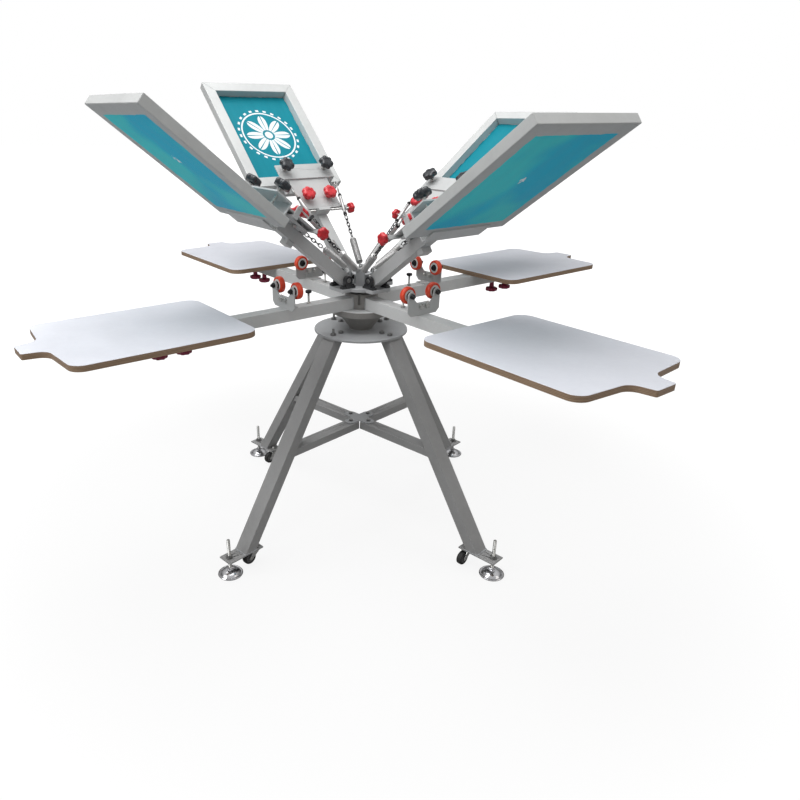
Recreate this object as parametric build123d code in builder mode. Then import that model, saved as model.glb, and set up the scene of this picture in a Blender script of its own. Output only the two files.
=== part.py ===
"""Four-colour, four-station screen printing press on a splayed four-leg stand.

Frame: millimetres, +Z up, origin on the floor below the spindle.
Each station is drawn once in its own frame (X outward, Y sideways, Z up) and then
turned to its azimuth.  Each print head is drawn lowered, in a frame whose origin is
its hinge pin, and is then tilted up to its resting angle.
"""
import os
from math import atan2, cos, degrees, radians, sin, sqrt, tan

from build123d import *

os.makedirs("parts", exist_ok=True)

# ---------------------------------------------------------------- driving dimensions
STATIONS = (1, 2, 3, 4)  # front left, back left, back right, front right
FIRST_AZIMUTH = 219.0  # platen and head of station 1, anticlockwise from +X
LEG_AZIMUTH = 227.8  # first leg
STEP = -90.0  # azimuth from one station to the next

# stand
PLATE_TOP = 768.0
PLATE_THICK = 8.0
PLATE_RADIUS = 172.0
LEG_WIDTH = 60.0
LEG_DEPTH = 40.0
LEG_WALL = 2.5
LEG_TOP_RADIUS = 170.0  # outer face just under the top flange
LEG_FOOT_RADIUS = 606.7  # outer face on the foot plate
FLANGE_THICK = 6.0
FOOT_PLATE_TOP = 68.0
FOOT_PLATE_THICK = 6.0
FOOT_PLATE_IN = 527.0
FOOT_PLATE_OUT = 676.0
FOOT_STUD_RADIUS = 655.0
FOOT_STUD = 6.0
CASTER_RADIUS = 545.0
BRACE_TOP = 397.0
BRACE_HEIGHT = 28.0
BRACE_WIDTH = 50.0
BRACE_WALL = 2.0
LOBE_RADIUS = 22.0
LOBE_CENTRE = 48.0
PLATE_BOLT_RADII = (105.0, 143.0)

# spindle and pedestal
PEDESTAL_TOP = 826.0
SPINDLE_RADIUS = 20.0
JOURNAL_RADIUS = 15.0
SHOULDER = 907.0

# platen carousel
FLANGE_BOTTOM = 826.6
FLANGE_RADIUS = 107.0
ARM_BOTTOM = 850.0
ARM_TOP = 892.0
ARM_WIDTH = 50.0
ARM_WALL = 3.0
ARM_REACH = 860.0
SLEEVE_RADIUS = 60.0
SLEEVE_TOP = 904.5
PLATEN_THICK = 18.0
PLATEN_TOP = 910.0
PLATEN_IN = 550.0
PLATEN_SHOULDER = 1100.0
PLATEN_OUT = 1172.0
PLATEN_WIDTH = 450.0
TONGUE_WIDTH = 80.0
WHEEL_RADIUS = 28.0
WHEEL_THICK = 20.0
WHEEL_STATION = 312.0
WHEEL_OFFSET = 55.0
WHEEL_HEIGHT = 960.0
BRACKET_BOLT = 5.0
EAR_PLATE_IN = 328.0
REST_SCREW_RADIUS = 230.0
REST_SCREW = 4.0
PLATEN_KNOB_RADII = (700.0, 780.0)

# print carousel
DISC_BOTTOM = 920.0
DISC_TOP = 932.0
DISC_RADIUS = 92.0
HINGE_RADIUS = 85.0
HINGE_HEIGHT = 960.0
BLOCK_IN = 22.0
BLOCK_OUT = 40.0
PIN_RADIUS = 7.4
HOOK_HEIGHT = 985.0

# heads
TILTS = {1: 39.2, 2: 44.3, 3: 36.3, 4: 36.1}
HEAD_ARM = 40.0
HEAD_ARM_BACK = -16.0
HEAD_ARM_END = 391.0
STOP_BLOCK_IN = 256.0
STOP_BLOCK_OUT = 282.0
STOP_BLOCK_DROP = 18.5
FRAME_IN = 422.0
FRAME_LENGTH = 514.0
FRAME_WIDTH = 404.0
FRAME_BOTTOM = -46.5
FRAME_THICK = 28.9
FRAME_MEMBER = 42.0
FRAME_WALL = 2.0
MESH_THICK = 0.5
PLATE_HALF = 86.0
CARRIAGE_BOTTOM = 36.0
CARRIAGE_THICK = 6.0
CLAMP_IN = 394.0
CLAMP_OUT = 460.0
CLAMP_HALF = 119.0
LOCK_KNOB = (310.0, 48.0)
CLAMP_KNOB = (437.0, 88.0)
SIDE_SCREW = (250.0, 38.0)
SIDE_KNOB_OFFSET = 115.6
EYE = (355.0, 105.0, 54.0)


# ---------------------------------------------------------------- shared helpers
def azimuth(first, number):
    """Azimuth of the numbered station, leg or foot."""
    return first + STEP * (number - 1)


def turned(angle):
    """Placement that turns a station frame to an azimuth about the spindle."""
    return Location((0, 0, 0), (0, 0, angle))


def head_place(number):
    """Placement of a lowered head frame at its hinge, tilted up to rest."""
    station = turned(azimuth(FIRST_AZIMUTH, number))
    hinge = Location((HINGE_RADIUS, 0, HINGE_HEIGHT), (0, -TILTS[number], 0))
    return station * hinge


def save(piece, name):
    """Label one finished piece and write its STEP file."""
    piece.label = name
    export_step(piece, f"parts/{name}.step")


def welded(*pieces):
    """One part whose welded pieces stay separate touching solids."""
    return Compound([solid for piece in pieces for solid in piece.part.solids()])


def across(plane_offset):
    """Vertical sketch plane, X outward and Z up, at a sideways offset."""
    return Plane.XZ.offset(-plane_offset)


def outward(distance):
    """Sketch plane facing outward along X at a distance, Y sideways and Z up."""
    return Plane.YZ.offset(distance)


def leg_outer(height):
    """Radius of a leg's outer face at a height."""
    drop = (PLATE_TOP - PLATE_THICK - FLANGE_THICK) - height
    whole = (PLATE_TOP - PLATE_THICK - FLANGE_THICK) - FOOT_PLATE_TOP
    return LEG_TOP_RADIUS + (LEG_FOOT_RADIUS - LEG_TOP_RADIUS) * drop / whole


LEG_HEIGHT = PLATE_TOP - PLATE_THICK - FLANGE_THICK - FOOT_PLATE_TOP
SPLAY = atan2(LEG_FOOT_RADIUS - LEG_TOP_RADIUS, LEG_HEIGHT)
LEG_SLICE = LEG_DEPTH / cos(SPLAY)  # horizontal thickness of a splayed leg
WALL_SLICE = LEG_WALL / cos(SPLAY)
INWARD = (-cos(SPLAY), 0, -sin(SPLAY))  # normal of a leg's inner face


def leg_inner(height):
    """Radius of a leg's inner face at a height."""
    return leg_outer(height) - LEG_SLICE


def slanted(low, high, inner_gap, outer_gap):
    """Corners of a leg slice between two heights, measured in from its outer face."""
    return [
        (leg_outer(low) - inner_gap, low),
        (leg_outer(low) - outer_gap, low),
        (leg_outer(high) - outer_gap, high),
        (leg_outer(high) - inner_gap, high),
    ]


def star(radius, lobes):
    """Sketch of a star knob: a disc with rounded lobes."""
    Circle(radius * 0.84)
    with PolarLocations(radius * 0.76, lobes):
        Circle(radius * 0.24)


# ---------------------------------------------------------------- stand
STUD_HOLE = 5.5
PEDESTAL_FOOT = 43.0
PEDESTAL_RIM = 82.0
ANCHOR_RADIUS = 10.0  # threaded lower end of the spindle

with BuildPart() as stand_plate:
    with BuildSketch(Plane.XY.offset(PLATE_TOP - PLATE_THICK)):
        Circle(PLATE_RADIUS)
    extrude(amount=PLATE_THICK)
    chamfer(stand_plate.edges().group_by(Axis.Z)[-1], 1.0)
    with BuildSketch(Plane.XZ):
        with BuildLine():
            Polyline(
                (0, PLATE_TOP),
                (PEDESTAL_FOOT, PLATE_TOP),
                (PEDESTAL_FOOT + 1, PLATE_TOP + 4),
                (PEDESTAL_RIM - 2, PEDESTAL_TOP - 7),
                (PEDESTAL_RIM, PEDESTAL_TOP - 5),
                (PEDESTAL_RIM, PEDESTAL_TOP),
                (0, PEDESTAL_TOP),
                close=True,
            )
        make_face()
    revolve(axis=Axis.Z)
    with BuildSketch(Plane.XZ):
        with BuildLine():
            Polyline(
                (0, PLATE_TOP - PLATE_THICK),
                (ANCHOR_RADIUS + 0.2, PLATE_TOP - PLATE_THICK),
                (ANCHOR_RADIUS + 0.2, PLATE_TOP),
                (SPINDLE_RADIUS + 0.05, PLATE_TOP),
                (SPINDLE_RADIUS + 0.05, PEDESTAL_TOP),
                (0, PEDESTAL_TOP),
                close=True,
            )
        make_face()
    revolve(axis=Axis.Z, mode=Mode.SUBTRACT)
    for bolt_radius in PLATE_BOLT_RADII:
        with BuildSketch(Plane.XY.offset(PLATE_TOP)):
            with PolarLocations(bolt_radius, 4, LEG_AZIMUTH):
                Circle(STUD_HOLE)
        extrude(amount=-PLATE_THICK, mode=Mode.SUBTRACT)
save(stand_plate.part, "stand_plate")

# leg: splayed box tube between a top flange and a foot plate
LEG_TUBE_TOP = PLATE_TOP - PLATE_THICK - FLANGE_THICK
BRACE_BOLT_HEIGHT = 356.0
BRACE_PLATE_THICK = 4.0
BRACE_BOLT_RADIUS = 4.0
TOP_FLANGE_IN = 88.0
TOP_FLANGE_LENGTH = 81.0
CASTER_STEM_HOLE = 4.3
brace_bolt_point = (leg_inner(BRACE_BOLT_HEIGHT), 0, BRACE_BOLT_HEIGHT)
brace_bolt_plane = Plane(origin=brace_bolt_point, x_dir=(0, 1, 0), z_dir=INWARD)

with BuildPart() as leg_tube:
    with BuildSketch(Plane.XZ):
        Polygon(*slanted(FOOT_PLATE_TOP, LEG_TUBE_TOP, LEG_SLICE, 0), align=None)
    extrude(amount=LEG_WIDTH / 2, both=True)
    with BuildSketch(Plane.XZ):
        Polygon(*slanted(FOOT_PLATE_TOP, LEG_TUBE_TOP, LEG_SLICE - WALL_SLICE, WALL_SLICE), align=None)
    extrude(amount=LEG_WIDTH / 2 - LEG_WALL, both=True, mode=Mode.SUBTRACT)
    with BuildSketch(brace_bolt_plane):
        Circle(BRACE_BOLT_RADIUS + 0.5)
    extrude(amount=-2 * LEG_WALL, mode=Mode.SUBTRACT)

with BuildPart() as top_flange:
    with BuildSketch(Plane.XY.offset(LEG_TUBE_TOP)):
        with Locations((TOP_FLANGE_IN, 0)):
            Rectangle(TOP_FLANGE_LENGTH, LEG_WIDTH, align=(Align.MIN, Align.CENTER))
        with Locations(*((bolt_radius, 0) for bolt_radius in PLATE_BOLT_RADII)):
            Circle(STUD_HOLE, mode=Mode.SUBTRACT)
    extrude(amount=FLANGE_THICK)

with BuildPart() as foot_plate:
    with BuildSketch(Plane.XY.offset(FOOT_PLATE_TOP)):
        with Locations((FOOT_PLATE_IN, 0)):
            Rectangle(FOOT_PLATE_OUT - FOOT_PLATE_IN, LEG_WIDTH, align=(Align.MIN, Align.CENTER))
        with Locations((FOOT_STUD_RADIUS, 0)):
            Circle(FOOT_STUD + 0.5, mode=Mode.SUBTRACT)
        with Locations((CASTER_RADIUS, 0)):
            Circle(CASTER_STEM_HOLE, mode=Mode.SUBTRACT)
    extrude(amount=-FOOT_PLATE_THICK)
leg = welded(leg_tube, top_flange, foot_plate)

for number in STATIONS:
    save(leg.moved(turned(azimuth(LEG_AZIMUTH, number))), f"leg_{number}")

# one bar of the brace: box tube with a slanted bolting plate against the leg
BRACE_BOTTOM = BRACE_TOP - BRACE_HEIGHT
BRACE_PLATE_FOOT = 345.0
PLATE_SLICE = BRACE_PLATE_THICK / cos(SPLAY)
BAR_START = 26.0
CLEAR = 0.05

with BuildPart() as brace_bar:
    with BuildSketch(Plane.XZ):
        Polygon(
            (BAR_START, BRACE_BOTTOM),
            (leg_inner(BRACE_BOTTOM) - PLATE_SLICE, BRACE_BOTTOM),
            (leg_inner(BRACE_TOP) - PLATE_SLICE, BRACE_TOP),
            (BAR_START, BRACE_TOP),
            align=None,
        )
    extrude(amount=BRACE_WIDTH / 2, both=True)
    with BuildSketch(Plane.XZ):
        Polygon(
            (BAR_START, BRACE_BOTTOM + BRACE_WALL),
            (leg_inner(BRACE_BOTTOM + BRACE_WALL) - PLATE_SLICE, BRACE_BOTTOM + BRACE_WALL),
            (leg_inner(BRACE_TOP - BRACE_WALL) - PLATE_SLICE, BRACE_TOP - BRACE_WALL),
            (BAR_START, BRACE_TOP - BRACE_WALL),
            align=None,
        )
    extrude(amount=BRACE_WIDTH / 2 - BRACE_WALL, both=True, mode=Mode.SUBTRACT)
    with BuildSketch(Plane.XZ):
        Polygon(
            *slanted(BRACE_PLATE_FOOT, BRACE_TOP, LEG_SLICE + PLATE_SLICE, LEG_SLICE + CLEAR),
            align=None,
        )
    extrude(amount=BRACE_WIDTH / 2, both=True)
    with BuildSketch(Plane.XY.offset(BRACE_TOP)):
        with Locations((LOBE_CENTRE, 0)):
            Circle(BRACE_BOLT_RADIUS + 0.5)
    extrude(amount=-2 * BRACE_WALL, mode=Mode.SUBTRACT)
    with BuildSketch(brace_bolt_plane):
        Circle(BRACE_BOLT_RADIUS + 0.5)
    extrude(amount=2 * BRACE_PLATE_THICK, mode=Mode.SUBTRACT)

with BuildPart() as brace_bars:
    for number in STATIONS:
        add(brace_bar.part.moved(turned(azimuth(LEG_AZIMUTH, number))))
save(brace_bars.part, "brace_bars")

# lobed plate that ties the four bars together
BRACE_CAP_THICK = 5.0
with BuildPart() as brace_plate:
    with BuildSketch(Plane.XY.offset(BRACE_TOP)):
        Rectangle(2 * LOBE_CENTRE, 2 * LOBE_RADIUS, rotation=LEG_AZIMUTH)
        Rectangle(2 * LOBE_RADIUS, 2 * LOBE_CENTRE, rotation=LEG_AZIMUTH)
        with PolarLocations(LOBE_CENTRE, 4, LEG_AZIMUTH):
            Circle(LOBE_RADIUS)
            Circle(BRACE_BOLT_RADIUS + 0.5, mode=Mode.SUBTRACT)
    extrude(amount=BRACE_CAP_THICK)
save(brace_plate.part, "brace_plate")

# spindle: threaded lower end, plain shaft, journal for the print carousel, threaded top
SPINDLE_FOOT = 738.0
JOURNAL_TOP = 973.0
SPINDLE_TOP = 993.0
TOP_THREAD = 12.0
with BuildPart() as spindle:
    with BuildSketch(Plane.XZ):
        with BuildLine():
            Polyline(
                (0, SPINDLE_FOOT),
                (ANCHOR_RADIUS, SPINDLE_FOOT),
                (ANCHOR_RADIUS, PLATE_TOP + CLEAR),
                (SPINDLE_RADIUS, PLATE_TOP + CLEAR),
                (SPINDLE_RADIUS, SHOULDER),
                (JOURNAL_RADIUS, SHOULDER),
                (JOURNAL_RADIUS, JOURNAL_TOP),
                (TOP_THREAD, JOURNAL_TOP),
                (TOP_THREAD, SPINDLE_TOP),
                (0, SPINDLE_TOP),
                close=True,
            )
        make_face()
    revolve(axis=Axis.Z)
save(spindle.part, "spindle")

# bearings on the spindle, each drawn as one sealed ring
LOWER_BEARING = (829.0, 844.0, SPINDLE_RADIUS, 34.0)
UPPER_BEARING = (886.0, 901.0, SPINDLE_RADIUS, 34.0)
DISC_BEARING = (907.2, 920.0, JOURNAL_RADIUS, 27.5)
NECK_BEARING = (959.0, 966.0, JOURNAL_RADIUS, 21.0)
with BuildPart() as hub_bearings:
    for bottom, top, bore, outer in (LOWER_BEARING, UPPER_BEARING, DISC_BEARING, NECK_BEARING):
        with BuildSketch(Plane.XY.offset(bottom)):
            Circle(outer)
            Circle(bore + CLEAR, mode=Mode.SUBTRACT)
        extrude(amount=top - bottom)
save(hub_bearings.part, "hub_bearings")

# bolts, studs and nuts of the stand
STUD_RADIUS = 5.0
STUD_RISE = (24.0, 24.0, 24.0, 9.0)  # by leg, the outer studs
NUT = 8.5  # half the width across flats of a ten millimetre nut
NUT_HEIGHT = 8.0
UNDER_FLANGE = LEG_TUBE_TOP - NUT_HEIGHT
with BuildPart() as brace_bolt:
    with BuildSketch(brace_bolt_plane.offset(BRACE_PLATE_THICK + CLEAR)):
        RegularPolygon(6.5, 6, major_radius=False)
    extrude(amount=5.5)
    with BuildSketch(brace_bolt_plane.offset(BRACE_PLATE_THICK + CLEAR)):
        Circle(BRACE_BOLT_RADIUS)
    extrude(amount=-14)

with BuildPart() as stand_hardware:
    for bolt_radius in PLATE_BOLT_RADII:
        with BuildSketch(Plane.XY.offset(PLATE_TOP)):
            with PolarLocations(bolt_radius, 4, LEG_AZIMUTH):
                RegularPolygon(NUT, 6, major_radius=False)
        extrude(amount=NUT_HEIGHT - 1)
        with BuildSketch(Plane.XY.offset(UNDER_FLANGE - 3)):
            with PolarLocations(bolt_radius, 4, LEG_AZIMUTH):
                Circle(STUD_RADIUS)
        extrude(amount=PLATE_TOP - UNDER_FLANGE + 3)
        with BuildSketch(Plane.XY.offset(UNDER_FLANGE)):
            with PolarLocations(bolt_radius, 4, LEG_AZIMUTH):
                RegularPolygon(NUT, 6, major_radius=False)
                Circle(STUD_RADIUS + CLEAR, mode=Mode.SUBTRACT)
        extrude(amount=NUT_HEIGHT - CLEAR)
    for number, rise in zip(STATIONS, STUD_RISE):
        with BuildSketch(Plane.XY.offset(PLATE_TOP)):
            with PolarLocations(PLATE_BOLT_RADII[1], 1, azimuth(LEG_AZIMUTH, number)):
                Circle(STUD_RADIUS - 1)
        extrude(amount=rise)
    with BuildSketch(Plane.XY.offset(BRACE_TOP + BRACE_CAP_THICK)):
        with PolarLocations(LOBE_CENTRE, 4, LEG_AZIMUTH):
            RegularPolygon(6.5, 6, major_radius=False)
    extrude(amount=5.5)
    with BuildSketch(Plane.XY.offset(BRACE_TOP + BRACE_CAP_THICK)):
        with PolarLocations(LOBE_CENTRE, 4, LEG_AZIMUTH):
            Circle(BRACE_BOLT_RADIUS)
    extrude(amount=-BRACE_CAP_THICK - 2 * BRACE_WALL - 6)
    for number in STATIONS:
        add(brace_bolt.part.moved(turned(azimuth(LEG_AZIMUTH, number))))
    with BuildSketch(Plane.XY.offset(FOOT_PLATE_TOP + CLEAR)):
        with PolarLocations(FOOT_STUD_RADIUS, 4, LEG_AZIMUTH):
            RegularPolygon(9.5, 6, major_radius=False)
            Circle(FOOT_STUD + CLEAR, mode=Mode.SUBTRACT)
    extrude(amount=10)
    with BuildSketch(Plane.XY.offset(PLATE_TOP - PLATE_THICK - 16 - CLEAR)):
        RegularPolygon(15, 6, major_radius=False)
        Circle(ANCHOR_RADIUS + CLEAR, mode=Mode.SUBTRACT)
    extrude(amount=16)
    with BuildSketch(Plane.XY.offset(JOURNAL_TOP + CLEAR)):
        RegularPolygon(19, 6, major_radius=False)
        Circle(TOP_THREAD + CLEAR, mode=Mode.SUBTRACT)
    extrude(amount=17)
save(stand_hardware.part, "stand_hardware")

# levelling foot: dished pad with a hexagon and a threaded stud
PAD_RADIUS = 44.0
STUD_TOP = 143.0
with BuildPart() as levelling_foot:
    with BuildSketch(Plane.XZ):
        with BuildLine():
            Polyline((0, 0), (PAD_RADIUS - 3, 0), (PAD_RADIUS, 3), (PAD_RADIUS, 5))
            ThreePointArc((PAD_RADIUS, 5), (27, 14.5), (15, 21))
            Polyline((15, 21), (0, 21), (0, 0))
        make_face()
    revolve(axis=Axis.Z)
    with BuildSketch(Plane.XY.offset(21)):
        RegularPolygon(9.5, 6, major_radius=False)
    extrude(amount=9)
    with BuildSketch(Plane.XY.offset(30)):
        Circle(FOOT_STUD)
    extrude(amount=STUD_TOP - 30)
    chamfer(levelling_foot.edges().group_by(Axis.Z)[-1], 1.0)

for number in STATIONS:
    place = turned(azimuth(LEG_AZIMUTH, number)) * Location((FOOT_STUD_RADIUS, 0, 0))
    save(levelling_foot.part.moved(place), f"levelling_foot_{number}")

# caster: swivel fork on a stem, and its wheel; every fork trails the same way
TRAIL = 26.0
TRAIL_AZIMUTH = 228.0
CASTER_WHEEL = 25.0
CASTER_AXLE = 28.0
FOOT_PLATE_BOTTOM = FOOT_PLATE_TOP - FOOT_PLATE_THICK
with BuildPart() as caster_fork:
    with BuildSketch(Plane.XY.offset(FOOT_PLATE_BOTTOM - 0.4)):
        Circle(18)
    extrude(amount=-4)
    with BuildSketch(Plane.XY.offset(FOOT_PLATE_BOTTOM - 4.4)):
        Circle(14)
    extrude(amount=-3)
    with BuildSketch(Plane.XY.offset(FOOT_PLATE_BOTTOM - 7.3)):
        Rectangle(30, 28)
    extrude(amount=-1.0)
    for side in (-1, 1):
        with BuildSketch(across(side * 12.5)):
            with BuildLine():
                Polyline(
                    (-15, FOOT_PLATE_BOTTOM - 7.3),
                    (15, FOOT_PLATE_BOTTOM - 7.3),
                    (TRAIL + 8, CASTER_AXLE),
                    (TRAIL, CASTER_AXLE - 8),
                    (TRAIL - 8, CASTER_AXLE - 3),
                    (-15, FOOT_PLATE_BOTTOM - 15),
                    close=True,
                )
            make_face()
        extrude(amount=1.5, both=True)
    with BuildSketch(Plane.XZ):
        with Locations((TRAIL, CASTER_AXLE)):
            Circle(3)
    extrude(amount=16, both=True)
    with BuildSketch(Plane.XY.offset(FOOT_PLATE_BOTTOM - 0.5)):
        Circle(4)
    extrude(amount=FOOT_PLATE_THICK + 9)
    with BuildSketch(Plane.XY.offset(FOOT_PLATE_TOP + 0.4)):
        RegularPolygon(6.5, 6, major_radius=False)
    extrude(amount=6)

with BuildPart() as caster_wheel:
    with BuildSketch(Plane.XZ):
        with Locations((TRAIL, CASTER_AXLE)):
            Circle(CASTER_WHEEL)
            Circle(3.1, mode=Mode.SUBTRACT)
    extrude(amount=10, both=True)
    rims = caster_wheel.edges().filter_by(GeomType.CIRCLE)
    fillet(rims.filter_by(lambda edge: edge.radius > CASTER_WHEEL - 1), 3.0)

for number in STATIONS:
    spot = turned(azimuth(LEG_AZIMUTH, number)) * Location((CASTER_RADIUS, 0, 0))
    place = Location(spot.position, (0, 0, TRAIL_AZIMUTH))
    save(caster_fork.part.moved(place), f"caster_fork_{number}")
    save(caster_wheel.part.moved(place), f"caster_wheel_{number}")

# ---------------------------------------------------------------- platen carousel
SLOT_WIDTH = 9.0
SLOT_BOTTOM = 868.0
KNOB_HOLE = 4.6
GUIDE_BOLT = (13.0, 922.0)  # sideways offset and height of the bracket bolts
with BuildPart() as spider_hub:
    with BuildSketch(Plane.XY.offset(FLANGE_BOTTOM)):
        Circle(FLANGE_RADIUS)
    extrude(amount=ARM_BOTTOM - FLANGE_BOTTOM)
    chamfer(spider_hub.edges().group_by(Axis.Z)[0], 3.0)
    with BuildSketch(Plane.XY.offset(ARM_BOTTOM)):
        Circle(SLEEVE_RADIUS)
    extrude(amount=SLEEVE_TOP - ARM_BOTTOM)
    with BuildSketch(Plane.XY.offset(SLEEVE_TOP)):
        with PolarLocations(SLEEVE_RADIUS, 4, FIRST_AZIMUTH + 45):
            Rectangle(16, SLOT_WIDTH)
    extrude(amount=SLOT_BOTTOM - SLEEVE_TOP, mode=Mode.SUBTRACT)
    with BuildSketch(Plane.XZ):
        with BuildLine():
            Polyline(
                (0, FLANGE_BOTTOM),
                (LOWER_BEARING[3] + CLEAR, FLANGE_BOTTOM),
                (LOWER_BEARING[3] + CLEAR, LOWER_BEARING[1] + CLEAR),
                (SPINDLE_RADIUS + 2, LOWER_BEARING[1] + CLEAR),
                (SPINDLE_RADIUS + 2, UPPER_BEARING[0] - CLEAR),
                (UPPER_BEARING[3] + CLEAR, UPPER_BEARING[0] - CLEAR),
                (UPPER_BEARING[3] + CLEAR, SLEEVE_TOP),
                (0, SLEEVE_TOP),
                close=True,
            )
        make_face()
    revolve(axis=Axis.Z, mode=Mode.SUBTRACT)

with BuildPart() as spider_arms:
    with BuildSketch(Plane.XY.offset(ARM_BOTTOM)):
        with PolarLocations(ARM_REACH / 2, 4, FIRST_AZIMUTH):
            Rectangle(ARM_REACH, ARM_WIDTH)
        Circle(SLEEVE_RADIUS, mode=Mode.SUBTRACT)
    extrude(amount=ARM_TOP - ARM_BOTTOM)
    with BuildSketch(Plane.XY.offset(ARM_BOTTOM + ARM_WALL)):
        with PolarLocations((ARM_REACH + SLEEVE_RADIUS) / 2, 4, FIRST_AZIMUTH):
            Rectangle(ARM_REACH - SLEEVE_RADIUS - 2 * ARM_WALL, ARM_WIDTH - 2 * ARM_WALL)
    extrude(amount=ARM_TOP - ARM_BOTTOM - 2 * ARM_WALL, mode=Mode.SUBTRACT)
    with BuildSketch(Plane.XY.offset(ARM_TOP)):
        for knob_radius in PLATEN_KNOB_RADII:
            with PolarLocations(knob_radius, 4, FIRST_AZIMUTH):
                Circle(KNOB_HOLE)
    extrude(amount=ARM_BOTTOM - ARM_TOP, mode=Mode.SUBTRACT)
    with BuildSketch(Plane.XY.offset(ARM_TOP)):
        with PolarLocations(REST_SCREW_RADIUS, 4, FIRST_AZIMUTH):
            Circle(REST_SCREW + CLEAR)
    extrude(amount=-ARM_WALL, mode=Mode.SUBTRACT)
save(welded(spider_hub, spider_arms), "platen_spider")

# platen: laminated board with a rounded tail at its outer end
with BuildPart() as platen:
    with BuildSketch(Plane.XY.offset(PLATEN_TOP - PLATEN_THICK)) as outline:
        Polygon(
            (PLATEN_IN, -PLATEN_WIDTH / 2),
            (PLATEN_SHOULDER - 8, -PLATEN_WIDTH / 2),
            (PLATEN_SHOULDER + 6, -TONGUE_WIDTH / 2 - 12),
            (PLATEN_OUT, -TONGUE_WIDTH / 2),
            (PLATEN_OUT, TONGUE_WIDTH / 2),
            (PLATEN_SHOULDER + 6, TONGUE_WIDTH / 2 + 12),
            (PLATEN_SHOULDER - 8, PLATEN_WIDTH / 2),
            (PLATEN_IN, PLATEN_WIDTH / 2),
            align=None,
        )
        fillet(outline.vertices().group_by(Axis.X)[-1], 6)
        fillet(outline.vertices().filter_by(lambda point: abs(point.X - PLATEN_SHOULDER - 6) < 1), 38)
        fillet(outline.vertices().filter_by(lambda point: abs(point.X - PLATEN_SHOULDER + 8) < 1), 40)
        fillet(outline.vertices().group_by(Axis.X)[0], 45)
    extrude(amount=PLATEN_THICK)
    chamfer(platen.edges().group_by(Axis.Z)[-1], 0.8)
    with BuildSketch(Plane.XY.offset(ARM_TOP)):
        with Locations(*((knob_radius, 0) for knob_radius in PLATEN_KNOB_RADII)):
            Circle(4.6)
    extrude(amount=12, mode=Mode.SUBTRACT)

for number in STATIONS:
    save(platen.part.moved(turned(azimuth(FIRST_AZIMUTH, number))), f"platen_{number}")

# guide bracket: angle on the arm and an upright plate with an ear for each wheel
EAR_PLATE_THICK = 4.0
EAR_RADIUS = 14.0
AXLE_RADIUS = 5.0
ANGLE_IN = 290.0
ANGLE_THICK = 4.0
ANGLE_HALF = 25.0
ANGLE_TOP = 934.0
PLATE_MIDDLE = 932.0  # top of the plate between its ears
PLATE_CORNER = 14.0
EAR_OUT = WHEEL_OFFSET + EAR_RADIUS
EAR_INSIDE = WHEEL_OFFSET - EAR_RADIUS
with BuildPart() as guide_bracket:
    with BuildSketch(across(0)):
        with Locations((ANGLE_IN, ARM_TOP)):
            Rectangle(EAR_PLATE_IN - ANGLE_IN, ANGLE_THICK, align=(Align.MIN, Align.MIN))
        with Locations((EAR_PLATE_IN - ANGLE_THICK, ARM_TOP)):
            Rectangle(ANGLE_THICK, ANGLE_TOP - ARM_TOP, align=(Align.MIN, Align.MIN))
    extrude(amount=ANGLE_HALF, both=True)
    with BuildSketch(outward(EAR_PLATE_IN)):
        with BuildLine():
            Polyline(
                (PLATE_CORNER - EAR_OUT, ARM_TOP),
                (EAR_OUT - PLATE_CORNER, ARM_TOP),
                (EAR_OUT, ARM_TOP + PLATE_CORNER),
                (EAR_OUT, WHEEL_HEIGHT),
                (EAR_INSIDE, WHEEL_HEIGHT),
                (EAR_INSIDE, PLATE_MIDDLE + PLATE_CORNER),
                (EAR_INSIDE - PLATE_CORNER, PLATE_MIDDLE),
                (PLATE_CORNER - EAR_INSIDE, PLATE_MIDDLE),
                (-EAR_INSIDE, PLATE_MIDDLE + PLATE_CORNER),
                (-EAR_INSIDE, WHEEL_HEIGHT),
                (-EAR_OUT, WHEEL_HEIGHT),
                (-EAR_OUT, ARM_TOP + PLATE_CORNER),
                close=True,
            )
        make_face()
        with Locations((WHEEL_OFFSET, WHEEL_HEIGHT), (-WHEEL_OFFSET, WHEEL_HEIGHT)):
            Circle(EAR_RADIUS)
            Circle(AXLE_RADIUS + 0.3, mode=Mode.SUBTRACT)
    extrude(amount=EAR_PLATE_THICK)
    with BuildSketch(outward(EAR_PLATE_IN + EAR_PLATE_THICK)):
        with Locations(GUIDE_BOLT, (-GUIDE_BOLT[0], GUIDE_BOLT[1])):
            Circle(BRACKET_BOLT + 0.5)
    extrude(amount=-EAR_PLATE_THICK - ANGLE_THICK, mode=Mode.SUBTRACT)

with BuildPart() as guide_brackets:
    for number in STATIONS:
        add(guide_bracket.part.moved(turned(azimuth(FIRST_AZIMUTH, number))))
save(guide_brackets.part, "guide_brackets")

# guide wheel: soft tyre on a hub that runs on a radial axle
WHEEL_HUB = 20.0
with BuildPart() as guide_wheel:
    with BuildSketch(outward(WHEEL_STATION)):
        Circle(WHEEL_RADIUS)
        Circle(WHEEL_HUB + CLEAR, mode=Mode.SUBTRACT)
    extrude(amount=WHEEL_THICK / 2, both=True)
    treads = guide_wheel.edges().filter_by(GeomType.CIRCLE)
    fillet(treads.filter_by(lambda edge: edge.radius > WHEEL_RADIUS - 1), 4.0)
    with BuildSketch(outward(WHEEL_STATION)):
        Circle(WHEEL_HUB)
        Circle(AXLE_RADIUS + 0.06, mode=Mode.SUBTRACT)
    extrude(amount=WHEEL_THICK / 2 - 1, both=True)

for number in STATIONS:
    for pair, side in enumerate((-1, 1)):
        spot = turned(azimuth(FIRST_AZIMUTH, number)) * Location((0, side * WHEEL_OFFSET, WHEEL_HEIGHT))
        save(guide_wheel.part.moved(spot), f"guide_wheel_{2 * number - 1 + pair}")

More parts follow.
